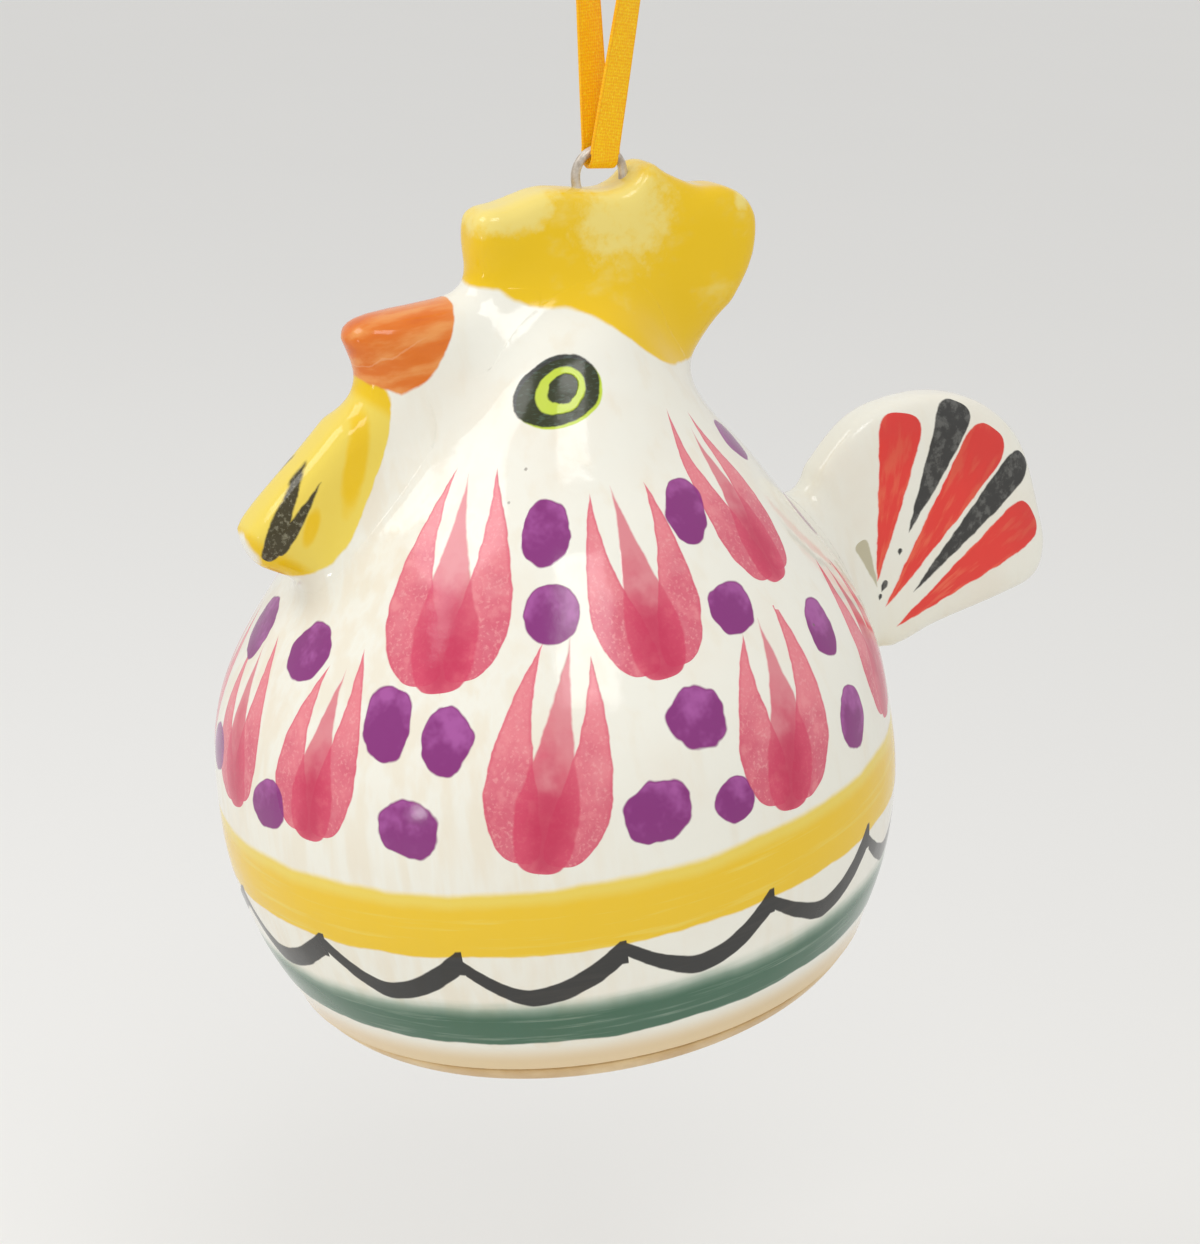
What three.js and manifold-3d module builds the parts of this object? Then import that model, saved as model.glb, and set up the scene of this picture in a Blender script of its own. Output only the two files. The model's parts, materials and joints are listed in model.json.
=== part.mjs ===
// A hollow glazed ceramic rooster that hangs by a wire loop in its comb from a tied satin ribbon.
import * as THREE from "three";
import { mergeVertices } from "three/addons/utils/BufferGeometryUtils.js";
import Module from "manifold-3d";

const wasm = await Module();
wasm.setup();

// Driving dimensions, in millimetres and degrees.
// The bird is drawn standing on its base, beak towards -Y, and is then turned to the slope it hangs at.
const JOINT_GAP = 0.3;
const WALL = 4;

// The flat base slab and its vent.
const BASE_R = 25;
const BASE_H = 3.2;
const BASE_BEVEL_R = 27.4;
const BASE_BEVEL_Z = 1.2;
const BASE_STEP = 0.4; // how far the slab's edge stands in from the body's seam
const VENT_R = 3.5;

// The round body: radius and height of each turn of its profile, from the seam up to the crown.
const SEAM_R = 29.3;
const HIP_R = 32.5;
const HIP_Z = 11.4;
const BELLY_R = 33.9;
const BELLY_Z = 21.4;
const BREAST_R = 31.9;
const BREAST_Z = 34.4;
const SHOULDER_R = 22.6;
const SHOULDER_Z = 48.4;
const NECK_R = 16.6;
const NECK_Z = 55.4;
const HEAD_R = 11.4;
const HEAD_Z = 62.4;
const BROW_R = 7.4;
const BROW_Z = 67.8;
const CROWN_Z = 71.8;
const HEAD_BACK = 8.7; // how far the crown stands behind the middle of the base
const HEAD_BEND = 2.6; // how late the body starts to lean: 1 is an even slope from the belly up

// The pieces luted to the body, each a plump plate in the middle plane.
const COMB_LONG = 30.4;
const COMB_TALL = 20.2;
const COMB_THICK = 7;
const BEAK_LONG = 14.4;
const BEAK_TALL = 7.8;
const BEAK_THICK = 9;
const BEAK_Z = 67;
const WATTLE_LONG = 14.2;
const WATTLE_TALL = 19;
const WATTLE_THICK = 7.4;
const WATTLE_Z = 55;
const TAIL_LONG = 25.8;
const TAIL_TALL = 27.1;
const TAIL_THICK = 6;
const TAIL_Z = 33;

// The wire loop let into the comb.
const WIRE_D = 0.9;
const LOOP_R = 2.5;
const LOOP_RISE = 1.2; // height of the loop's centre above the dip of the comb
const WIRE_DEPTH = 3.4;

// The ribbon, tied over a hook or twig.
const RIBBON_W = 3;
const RIBBON_T = 0.4;
const HOOK_R = 4.4;
const RIBBON_DROP = 46; // from the top of the hook to the centre of the wire loop
const RIBBON_TWIST = 50;
const BIGHT_SLACK = 0.35; // clearance of the bight round the wire
const LEG_GAP = 0.45;
const KNOT_W = 5.2;
const KNOT_DEEP = 4.5;
const KNOT_H = 4.2;
const END_LONG = 14;
const END_RISE = 40; // an end's slope from the vertical where it leaves the knot
const END_DROOP = 115; // and at its tip

// How many flats each form is cut into.
const SEGMENTS = 48;
const ROWS = 22;
const PLATE_SPANS = 3; // between two points of a plate's rim
const PLATE_ROWS = 12;
const WIRE_STEPS = 40;
const WIRE_SPANS = 5;
const RIBBON_STEPS = 24;
const KNOT_STEPS = 18;

// Outlines as shares of a piece's length and height, from its datum on the body: backwards, upwards.
// Each starts at the front and goes over the top. Round is 1 for an egg and near 0 for a slab.
const COMB = {
  middle: [0.12, -0.1],
  round: 0.4,
  rim: [
    [-0.345, -0.05], [-0.34, 0.22], [-0.308, 0.32], [-0.215, 0.335], [-0.075, 0.36], [0.05, 0.325],
    [0.128, 0.297], [0.2, 0.32], [0.272, 0.388], [0.34, 0.312], [0.44, 0.222], [0.53, 0.192],
    [0.602, 0.115], [0.63, 0], [0.605, -0.17], [0.54, -0.32], [0.44, -0.48], [0.355, -0.633],
    [0.13, -0.64], [-0.13, -0.44],
  ],
};
const COMB_DIP = COMB.rim[6];
const BEAK = {
  middle: [-0.27, 0.04],
  round: 0.8,
  rim: [
    [-0.96, 0.2], [-0.93, 0.4], [-0.77, 0.53], [-0.42, 0.54], [-0.07, 0.5], [0.38, 0.42],
    [0.38, -0.42], [-0.37, -0.42], [-0.71, -0.5], [-0.86, -0.37], [-0.94, -0.12],
  ],
};
const WATTLE = {
  middle: [-0.25, -0.03],
  round: 0.55,
  rim: [
    [-1, -0.11], [-0.93, -0.01], [-0.5, 0.24], [-0.08, 0.48], [0.12, 0.5], [0.62, 0.1],
    [0.4, -0.36], [-0.3, -0.46], [-0.7, -0.39], [-0.92, -0.26],
  ],
};
const TAIL = {
  middle: [0.4, 0.1],
  round: 0.45,
  rim: [
    [-0.25, 0.2], [-0.08, 0.37], [0.16, 0.565], [0.39, 0.61], [0.62, 0.575], [0.8, 0.475],
    [0.93, 0.3], [0.995, -0.01], [1, -0.15], [0.94, -0.25], [0.78, -0.285], [0.45, -0.32],
    [0.22, -0.36], [-0.2, -0.32],
  ],
};

const GLAZE = { white: 0xefece0, yellow: 0xe6bd20, orange: 0xdd7d2c };
const CLAY = 0xdfcda8;
const STEEL = 0xb9b4ac;
const SATIN = 0xf39a12;

// Solids and meshes.
function solidOf(geometry) {
  const bare = geometry.index ? geometry.toNonIndexed() : geometry.clone();
  bare.deleteAttribute("normal");
  bare.deleteAttribute("uv");
  const merged = mergeVertices(bare, 1e-4);
  return new wasm.Manifold(
    new wasm.Mesh({
      numProp: 3,
      vertProperties: merged.attributes.position.array,
      triVerts: new Uint32Array(merged.index.array),
    }),
  );
}

function geometryOf(solid) {
  const { vertProperties, triVerts } = solid.getMesh();
  const geometry = new THREE.BufferGeometry();
  geometry.setAttribute("position", new THREE.BufferAttribute(vertProperties, 3));
  geometry.setIndex(new THREE.BufferAttribute(triVerts, 1));
  geometry.computeVertexNormals();
  return geometry;
}

function mesh(name, geometry, color, roughness = 0.12, metalness = 0) {
  const material = new THREE.MeshStandardMaterial({ color, roughness, metalness });
  const made = new THREE.Mesh(geometry, material);
  made.name = name;
  return made;
}

function moveVertices(geometry, move) {
  const position = geometry.attributes.position;
  const point = new THREE.Vector3();
  for (let i = 0; i < position.count; i++) {
    point.fromBufferAttribute(position, i);
    move(point);
    position.setXYZ(i, point.x, point.y, point.z);
  }
  return geometry;
}

// The body's profile as a curve of radius and height, and the backward lean of its rings.
const profile = new THREE.SplineCurve(
  [
    [SEAM_R, BASE_H + JOINT_GAP],
    [HIP_R, HIP_Z],
    [BELLY_R, BELLY_Z],
    [BREAST_R, BREAST_Z],
    [SHOULDER_R, SHOULDER_Z],
    [NECK_R, NECK_Z],
    [HEAD_R, HEAD_Z],
    [BROW_R, BROW_Z],
    [0, CROWN_Z],
  ].map(([r, z]) => new THREE.Vector2(r, z)),
).getSpacedPoints(ROWS);

function lean(z) {
  const rise = Math.max(0, z - BELLY_Z) / (CROWN_Z - BELLY_Z);
  return HEAD_BACK * rise ** HEAD_BEND;
}

function radiusAt(z) {
  const above = profile.findIndex((p) => p.y >= z);
  const low = profile[above - 1];
  const high = profile[above];
  return THREE.MathUtils.lerp(low.x, high.x, (z - low.y) / (high.y - low.y));
}

// The profile moved outwards by grow, or inwards where grow is negative.
function offsetProfile(grow) {
  return profile.map((p, i) => {
    const before = profile[Math.max(i - 1, 0)];
    const after = profile[Math.min(i + 1, ROWS)];
    const along = after.clone().sub(before).normalize();
    const crown = i === ROWS;
    const r = crown ? 0 : Math.max(0.01, p.x + grow * along.y);
    const z = crown ? p.y + grow : p.y - grow * along.x;
    return new THREE.Vector2(r, z);
  });
}

function leanedLathe(points) {
  const turned = new THREE.LatheGeometry(points, SEGMENTS).rotateX(Math.PI / 2);
  return solidOf(moveVertices(turned, (p) => (p.y += lean(p.z))));
}

// A solid of the body's outer form, closed below at floor.
function bodyForm(grow, floor) {
  const side = offsetProfile(grow);
  const foot = new THREE.Vector2(side[0].x, floor);
  return leanedLathe([new THREE.Vector2(0, floor), foot, ...side]);
}

function bodyShell() {
  const outer = bodyForm(0, BASE_H + JOINT_GAP);
  const hollow = bodyForm(-WALL, -BASE_H);
  return outer.subtract(hollow);
}

function baseSlab() {
  const ring = [
    [VENT_R, 0],
    [BASE_R, 0],
    [BASE_BEVEL_R, BASE_BEVEL_Z],
    [SEAM_R - BASE_STEP, BASE_H],
    [VENT_R, BASE_H],
    [VENT_R, 0],
  ].map(([r, z]) => new THREE.Vector2(r, z));
  return new THREE.LatheGeometry(ring, SEGMENTS).rotateX(Math.PI / 2);
}

// Places on the middle plane that the luted pieces are measured from: back (Y) and height (Z).
const crown = { y: lean(CROWN_Z), z: CROWN_Z };
const face = { y: lean(BEAK_Z) - radiusAt(BEAK_Z), z: BEAK_Z };
const throat = { y: lean(WATTLE_Z) - radiusAt(WATTLE_Z), z: WATTLE_Z };
const rump = { y: lean(TAIL_Z) + radiusAt(TAIL_Z), z: TAIL_Z };

// A plump plate in the middle plane: a ball drawn out to the form's rim and flattened to its thickness.
function plate(form, datum, long, tall, thick, grow = 0) {
  const place = ([back, up]) => new THREE.Vector3(0, datum.y + back * long, datum.z + up * tall);
  const rim = new THREE.CatmullRomCurve3(form.rim.map(place), true);
  const middle = place(form.middle);
  const ball = new THREE.SphereGeometry(1, form.rim.length * PLATE_SPANS, PLATE_ROWS);
  return solidOf(
    moveVertices(ball, (p) => {
      const around = Math.atan2(p.z, p.x) / (2 * Math.PI);
      const out = rim.getPoint((around + 1) % 1).sub(middle);
      const reach = Math.hypot(p.x, p.z) ** form.round * (1 + grow / out.length());
      const side = Math.sign(p.y) * Math.abs(p.y) ** form.round * (thick / 2 + grow);
      p.copy(middle).addScaledVector(out, reach);
      p.x = side;
    }),
  );
}

const combForm = plate(COMB, crown, COMB_LONG, COMB_TALL, COMB_THICK);
const beakForm = plate(BEAK, face, BEAK_LONG, BEAK_TALL, BEAK_THICK);
const beakClear = plate(BEAK, face, BEAK_LONG, BEAK_TALL, BEAK_THICK, JOINT_GAP);
const wattleForm = plate(WATTLE, throat, WATTLE_LONG, WATTLE_TALL, WATTLE_THICK);
const tailForm = plate(TAIL, rump, TAIL_LONG, TAIL_TALL, TAIL_THICK);

// The wire: two straight legs let into the comb, and a half-round loop above it.
const loopCentre = {
  y: crown.y + COMB_DIP[0] * COMB_LONG,
  z: crown.z + COMB_DIP[1] * COMB_TALL + LOOP_RISE,
};

class WireCurve extends THREE.Curve {
  constructor(leg) {
    super();
    this.leg = leg;
  }
  getPoint(t) {
    const arc = Math.PI * LOOP_R;
    const along = t * (2 * this.leg + arc) - this.leg;
    const turn = THREE.MathUtils.clamp(along / LOOP_R, 0, Math.PI);
    const below = Math.max(-along, along - arc, 0);
    const y = loopCentre.y - LOOP_R * Math.cos(turn);
    return new THREE.Vector3(0, y, loopCentre.z + LOOP_R * Math.sin(turn) - below);
  }
}

function wireTube(grow) {
  const section = new THREE.Shape().absarc(0, 0, WIRE_D / 2 + grow, 0, 2 * Math.PI);
  return new THREE.ExtrudeGeometry(section, {
    steps: WIRE_STEPS,
    curveSegments: WIRE_SPANS,
    bevelEnabled: false,
    extrudePath: new WireCurve(LOOP_RISE + WIRE_DEPTH + grow),
  });
}

// The ceramic pieces, each cut back from its neighbours by the joint's gap.
const bodyClear = bodyForm(JOINT_GAP, BASE_H);
const wireHole = solidOf(wireTube(JOINT_GAP));
const comb = combForm.subtract(bodyClear).subtract(beakClear).subtract(wireHole);
const beak = beakForm.subtract(bodyClear);
const wattle = wattleForm.subtract(bodyClear).subtract(beakClear);
const tail = tailForm.subtract(bodyClear);

const ceramic = [
  mesh("body_shell", geometryOf(bodyShell()), GLAZE.white),
  mesh("base_disc", baseSlab(), CLAY, 0.5),
  mesh("comb", geometryOf(comb), GLAZE.yellow),
  mesh("beak", geometryOf(beak), GLAZE.orange),
  mesh("wattle", geometryOf(wattle), GLAZE.yellow),
  mesh("tail", geometryOf(tail), GLAZE.white),
];

// The centre of mass of the ceramic, from the tetrahedra between its faces and the origin.
function massCentre(meshes) {
  const sum = new THREE.Vector3();
  let volume = 0;
  const [a, b, c] = [new THREE.Vector3(), new THREE.Vector3(), new THREE.Vector3()];
  for (const { geometry } of meshes) {
    const bare = geometry.index ? geometry.toNonIndexed() : geometry;
    const position = bare.attributes.position;
    for (let i = 0; i < position.count; i += 3) {
      [a, b, c].forEach((v, k) => v.fromBufferAttribute(position, i + k));
      const part = a.dot(b.clone().cross(c)) / 6;
      volume += part;
      sum.addScaledVector(a.add(b).add(c), part / 4);
    }
  }
  return sum.divideScalar(volume);
}

// The bird hangs with its centre of mass straight below the wire loop.
const balance = massCentre(ceramic);
const slope = Math.atan2(loopCentre.y - balance.y, loopCentre.z - balance.z);
const bird = new THREE.Group();
bird.add(...ceramic, mesh("wire_hanger", wireTube(0), STEEL, 0.35, 1));
bird.rotation.x = slope;
const turnedLoop = new THREE.Vector3(0, loopCentre.y, loopCentre.z).applyEuler(bird.rotation);
bird.position.set(0, -turnedLoop.y, -RIBBON_DROP - turnedLoop.z);

// The ribbon: a bight under the wire, two legs that part and turn, and a tied top over the hook.
const up = new THREE.Vector3(0, 0, 1);
const bightIn = WIRE_D / 2 + BIGHT_SLACK;
const bightOut = bightIn + RIBBON_T;
const twist = THREE.MathUtils.degToRad(RIBBON_TWIST);
const legLow = -RIBBON_DROP + LOOP_R + LEG_GAP / 2;
const legHigh = -HOOK_R - JOINT_GAP;

// A band with the given outline in the XZ plane, as wide as the ribbon along Y.
function band(shape) {
  const wide = new THREE.ExtrudeGeometry(shape, {
    depth: RIBBON_W,
    bevelEnabled: false,
    curveSegments: RIBBON_STEPS / 2,
  });
  return wide.rotateX(Math.PI / 2).translate(0, RIBBON_W / 2, 0);
}

// A flat strip of ribbon from the origin to one unit up, to be drawn out along its way.
function strip() {
  const flat = new THREE.BoxGeometry(RIBBON_T, RIBBON_W, 1, 1, 1, RIBBON_STEPS);
  return flat.translate(0, 0, 0.5);
}

function bight() {
  const inside = Math.sqrt((LOOP_R - WIRE_D / 2) ** 2 - (RIBBON_W / 2) ** 2);
  const bend = inside - BIGHT_SLACK + bightIn - RIBBON_DROP;
  const top = legLow - LEG_GAP;
  const outline = new THREE.Shape();
  outline.moveTo(-bightOut, top);
  outline.absarc(0, bend, bightOut, Math.PI, 2 * Math.PI);
  outline.lineTo(bightOut, top);
  outline.lineTo(bightIn, top);
  outline.absarc(0, bend, bightIn, 2 * Math.PI, Math.PI, true);
  outline.lineTo(-bightIn, top);
  return band(outline);
}

// A taut leg: straight up the middle, and turned evenly all the way.
function leg(side) {
  const low = new THREE.Vector3(bightIn + RIBBON_T / 2, 0, legLow);
  const high = new THREE.Vector3(HOOK_R + RIBBON_T / 2, 0, legHigh).applyAxisAngle(up, twist);
  const turned = moveVertices(strip(), (p) => {
    const share = p.z;
    const across = p.clone().setZ(0).applyAxisAngle(up, twist * share);
    p.lerpVectors(low, high, share).add(across);
  });
  return turned.rotateZ(side);
}

function knotForm(grow) {
  const lump = new THREE.SphereGeometry(1, KNOT_STEPS, KNOT_STEPS).rotateX(Math.PI / 2);
  lump.scale(KNOT_W / 2 + grow, KNOT_DEEP / 2 + grow, KNOT_H / 2 + grow);
  return lump.translate(0, 0, KNOT_H / 2 - JOINT_GAP).rotateZ(twist);
}

function overHook(side) {
  const top = Math.PI / 2 - JOINT_GAP / HOOK_R;
  const outline = new THREE.Shape();
  outline.absarc(0, 0, HOOK_R + RIBBON_T, 0, top);
  outline.absarc(0, 0, HOOK_R, top, 0, true);
  const arch = band(outline).translate(0, 0, -HOOK_R).rotateZ(side + twist);
  return geometryOf(solidOf(arch).subtract(solidOf(knotForm(JOINT_GAP))));
}

// A free end: it leaves the knot sideways and droops in an even bow.
function ribbonEnd(side) {
  const rise = THREE.MathUtils.degToRad(END_RISE);
  const bend = THREE.MathUtils.degToRad(END_DROOP) - rise;
  const radius = END_LONG / bend;
  const bowed = moveVertices(strip(), (p) => {
    const slope = rise + bend * p.z;
    const out = radius * (Math.cos(rise) - Math.cos(slope)) + p.x * Math.cos(slope);
    const high = radius * (Math.sin(slope) - Math.sin(rise)) - p.x * Math.sin(slope);
    p.set(out, p.y, KNOT_H / 2 + high);
  });
  bowed.rotateZ(side + twist);
  return geometryOf(solidOf(bowed).subtract(solidOf(knotForm(JOINT_GAP))));
}

const part = new THREE.Group();
part.add(bird);
part.add(mesh("ribbon_bight", bight(), SATIN, 0.5));
part.add(mesh("ribbon_knot", knotForm(0), SATIN, 0.5));
for (const [name, side] of [["right", 0], ["left", Math.PI]]) {
  part.add(mesh("ribbon_leg_" + name, leg(side), SATIN, 0.5));
  part.add(mesh("ribbon_top_" + name, overHook(side), SATIN, 0.5));
  part.add(mesh("ribbon_end_" + name, ribbonEnd(side), SATIN, 0.5));
}

export default part;
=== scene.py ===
"""A hanging ceramic rooster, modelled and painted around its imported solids."""

import json
import math
from collections import namedtuple
from functools import reduce

import bmesh
import bpy
import numpy as np
from bpy.props import FloatProperty, FloatVectorProperty, IntProperty, PointerProperty
from mathutils import Matrix, Vector
from mathutils.bvhtree import BVHTree


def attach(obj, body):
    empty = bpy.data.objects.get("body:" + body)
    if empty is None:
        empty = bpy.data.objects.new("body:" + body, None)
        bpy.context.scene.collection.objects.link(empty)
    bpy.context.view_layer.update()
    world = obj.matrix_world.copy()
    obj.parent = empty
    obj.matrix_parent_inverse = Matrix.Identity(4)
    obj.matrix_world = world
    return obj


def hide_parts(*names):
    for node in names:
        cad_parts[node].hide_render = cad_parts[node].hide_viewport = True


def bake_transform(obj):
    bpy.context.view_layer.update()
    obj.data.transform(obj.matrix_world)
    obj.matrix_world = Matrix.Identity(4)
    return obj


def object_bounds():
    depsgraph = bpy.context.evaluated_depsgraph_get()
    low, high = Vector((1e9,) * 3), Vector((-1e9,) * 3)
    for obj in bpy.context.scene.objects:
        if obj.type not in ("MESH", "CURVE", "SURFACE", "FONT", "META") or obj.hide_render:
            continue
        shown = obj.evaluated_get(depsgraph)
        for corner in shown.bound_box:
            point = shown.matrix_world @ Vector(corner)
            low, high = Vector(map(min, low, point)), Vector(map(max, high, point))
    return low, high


bl_info = {
    "name": "Hanging rooster",
    "version": (1, 0, 0),
    "blender": (4, 5, 0),
    "location": "3D View > Sidebar > Rooster",
    "description": "Models and paints a hanging ceramic rooster around its packed solids",
    "category": "Object",
}

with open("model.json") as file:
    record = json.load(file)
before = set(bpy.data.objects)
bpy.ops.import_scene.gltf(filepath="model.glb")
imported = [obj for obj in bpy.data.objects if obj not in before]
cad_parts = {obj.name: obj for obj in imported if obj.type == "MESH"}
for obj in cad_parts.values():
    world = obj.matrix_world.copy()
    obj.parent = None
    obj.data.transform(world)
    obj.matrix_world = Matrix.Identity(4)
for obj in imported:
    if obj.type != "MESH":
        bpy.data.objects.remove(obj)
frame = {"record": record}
cad_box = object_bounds()
MM = 0.001

# The bird stands upright in its own frame, in millimetres, and hangs at a slope in the row's frame.
base_mount = next(m for m in frame["record"]["mounts"] if m["name"] == "base")
SLOPE = math.atan2(base_mount["axis"][1], -base_mount["axis"][2])
FOOT = Vector((0, base_mount["pos_m"][1], base_mount["pos_m"][2]))
HANG = Matrix.Translation(FOOT) @ Matrix.Rotation(SLOPE, 4, "X") @ Matrix.Scale(MM, 4)

# The turned body: radius and height of each turn of its profile, as in the solids.
PROFILE = [
    (29.3, 3.5), (32.5, 11.4), (33.9, 21.4), (31.9, 34.4),
    (22.6, 48.4), (16.6, 55.4), (11.4, 62.4), (7.4, 67.8), (0.0, 71.8),
]
SEAM_Z = PROFILE[0][1]
BELLY_Z = PROFILE[2][1]
CROWN_Z = PROFILE[-1][1]
# How far back the crown leans, and how late the lean starts: 1 is an even slope from the belly up.
HEAD_BACK = 8.7
HEAD_BEND = 2.6
# The body's wall, the top of its base slab, and how low its clay runs before it is cut off at the seam.
WALL = 4.0
BASE_TOP = 3.2
BODY_FLOOR = 1.5
# The least radius of a turned form, which keeps its tip a ring, and that of a tool that cuts right across.
TIP_R = 0.02
CUT_R = 60.0

# The luted plates: height and side of their datum on the body, length, height and thickness, and roundness.
# Middle and rim are in shares of length and height, from the datum.
PLATES = {
    "comb": {
        "at_z": CROWN_Z, "side": 0, "size": (30.4, 20.2, 7.0), "middle": (0.12, -0.1), "round": 0.4,
        "rim": [
            (-0.345, -0.05), (-0.34, 0.22), (-0.308, 0.32), (-0.215, 0.335), (-0.075, 0.36), (0.05, 0.325),
            (0.128, 0.297), (0.2, 0.32), (0.272, 0.388), (0.34, 0.312), (0.44, 0.222), (0.53, 0.192),
            (0.602, 0.115), (0.63, 0.0), (0.605, -0.17), (0.54, -0.32), (0.44, -0.48),
            (0.355, -0.633), (0.13, -0.64), (-0.13, -0.44),
        ],
    },
    "beak": {
        "at_z": 67.0, "side": -1, "size": (14.4, 7.8, 9.0), "middle": (-0.27, 0.04), "round": 0.8,
        "rim": [
            (-0.96, 0.2), (-0.93, 0.4), (-0.77, 0.53), (-0.42, 0.54), (-0.07, 0.5), (0.38, 0.42),
            (0.38, -0.42), (-0.37, -0.42), (-0.71, -0.5), (-0.86, -0.37), (-0.94, -0.12),
        ],
    },
    "wattle": {
        "at_z": 55.0, "side": -1, "size": (14.2, 19.0, 7.4), "middle": (-0.25, -0.03), "round": 0.55,
        "rim": [
            (-1.0, -0.11), (-0.93, -0.01), (-0.5, 0.24), (-0.08, 0.48), (0.12, 0.5), (0.62, 0.1),
            (0.4, -0.36), (-0.3, -0.46), (-0.7, -0.39), (-0.92, -0.26),
        ],
    },
    "tail": {
        "at_z": 33.0, "side": 1, "size": (25.8, 27.1, 6.0), "middle": (0.4, 0.1), "round": 0.45,
        "rim": [
            (-0.25, 0.2), (-0.08, 0.37), (0.16, 0.565), (0.39, 0.61), (0.62, 0.575), (0.8, 0.475),
            (0.93, 0.3), (0.995, -0.01), (1.0, -0.15), (0.94, -0.25), (0.78, -0.285), (0.45, -0.32),
            (0.22, -0.36), (-0.2, -0.32),
        ],
    },
}

# The luted joints, and how far from each the clay is rubbed over.
JOINTS = [
    ("body", "comb", 7.5), ("body", "beak", 6.0), ("body", "wattle", 6.0), ("body", "tail", 4.5),
    ("beak", "wattle", 4.5), ("body", "chin", 6.0), ("beak", "chin", 5.0), ("wattle", "chin", 5.0),
]
# The wad of clay that was rubbed in under the beak: its middle and half sizes.
CHIN_AT = (0.0, -7.6, 62.6)
CHIN_HALF = (5.2, 5.0, 5.6)

# How far each rub moves the clay to the mean of what is beside it: at the joints, then out and back
# everywhere, which takes the grain off and keeps the size.
RUB = 0.6
RUB_BACK = -0.62
GRAIN_RUBS = 16
# The sharpest bend that the glaze still rounds over.
GLAZE_BEND = math.radians(55)


def srgb(red, green, blue):
    """A colour given in 0 to 255 as the linear values that nodes take."""
    shares = [c / 255 for c in (red, green, blue)]
    return [c / 12.92 if c <= 0.04045 else ((c + 0.055) / 1.055) ** 2.4 for c in shares]


def colour_value(name, description, *rgb):
    return FloatVectorProperty(
        name=name, description=description, subtype="COLOR", size=3, min=0, max=1, default=srgb(*rgb)
    )


def length_value(name, description, default):
    return FloatProperty(name=name, description=description, default=default, unit="LENGTH", precision=5)


def power_value(name, description, default):
    return FloatProperty(name=name, description=description, default=default, unit="POWER")


def level_value(name, description, default):
    return FloatProperty(name=name, description=description, default=default)


class RoosterClay(bpy.types.PropertyGroup):
    """Sizes of the formed clay."""

    voxel: length_value("Grain", "Size of the cells that the clay forms are fused in", 0.0005)
    passes: IntProperty(name="Rubs", description="How often a luted joint is rubbed over", default=170)
    seam: length_value("Seam height", "How far above the body a luted piece is parted from it", 0.0008)


class RoosterPaint(bpy.types.PropertyGroup):
    """Colours of the glaze and of the brushwork."""

    white: colour_value("White glaze", "Ground of the body and tail", 240, 238, 226)
    cream: colour_value("Cream clay", "Thin glaze over the clay, low on the body", 224, 196, 146)
    yellow: colour_value("Yellow", "Comb, wattle and band", 238, 196, 4)
    straw: colour_value("Thin yellow", "Yellow where the brush left little", 238, 212, 88)
    pale: colour_value("Palest yellow", "Patches of the comb where the white shows through", 240, 220, 126)
    orange: colour_value("Orange", "Beak", 224, 116, 30)
    rose: colour_value("Rose", "Middle strokes of the flowers", 212, 72, 102)
    blush: colour_value("Blush", "Side strokes of the flowers", 230, 124, 136)
    plum: colour_value("Plum", "Dots between the flowers", 130, 6, 116)
    green: colour_value("Green", "Band above the base", 26, 90, 62)
    lime: colour_value("Lime", "Ring of the eye", 194, 216, 54)
    red: colour_value("Red", "Red strokes of the tail", 232, 32, 16)
    black: colour_value("Black", "Scallops, eye and dark strokes", 22, 22, 24)


class RoosterRibbon(bpy.types.PropertyGroup):
    """Sizes and colour of the ribbon and of the wire it hangs."""

    width: length_value("Width", "Width of the ribbon", 0.003)
    thick: length_value("Thickness", "Thickness of the ribbon", 0.0004)
    hook: length_value("Hook radius", "Radius of the hook that the ribbon goes over", 0.0044)
    drop: length_value("Drop", "From the top of the hook to the middle of the wire loop", 0.046)
    twist: FloatProperty(
        name="Twist", description="Turn of the legs", default=math.radians(50), subtype="ANGLE"
    )
    wire: length_value("Wire", "Diameter of the wire", 0.0009)
    loop: length_value("Loop radius", "Radius of the wire loop", 0.0025)
    satin: colour_value("Satin", "Colour of the ribbon", 255, 206, 0)
    steel: colour_value("Wire colour", "Colour of the fired wire", 216, 208, 198)


class RoosterStage(bpy.types.PropertyGroup):
    """Floor, light and camera."""

    floor_drop: length_value("Floor drop", "Depth of the floor below the bird", 0.07)
    floor: colour_value("Floor", "Colour of the floor", 240, 239, 236)
    key: power_value("Key light", "Strength of the soft key light", 0.96)
    fill: power_value("Fill light", "Strength of the fill light", 0.56)
    window: power_value("Window", "Strength of a small low light", 0.05)
    sky: level_value("Sky", "Strength of the even light overhead", 0.78)
    horizon: level_value("Horizon", "Strength of the even light at the sides", 0.74)
    lens: FloatProperty(
        name="Lens", description="Focal length of the camera", default=82.0, unit="CAMERA"
    )


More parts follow.
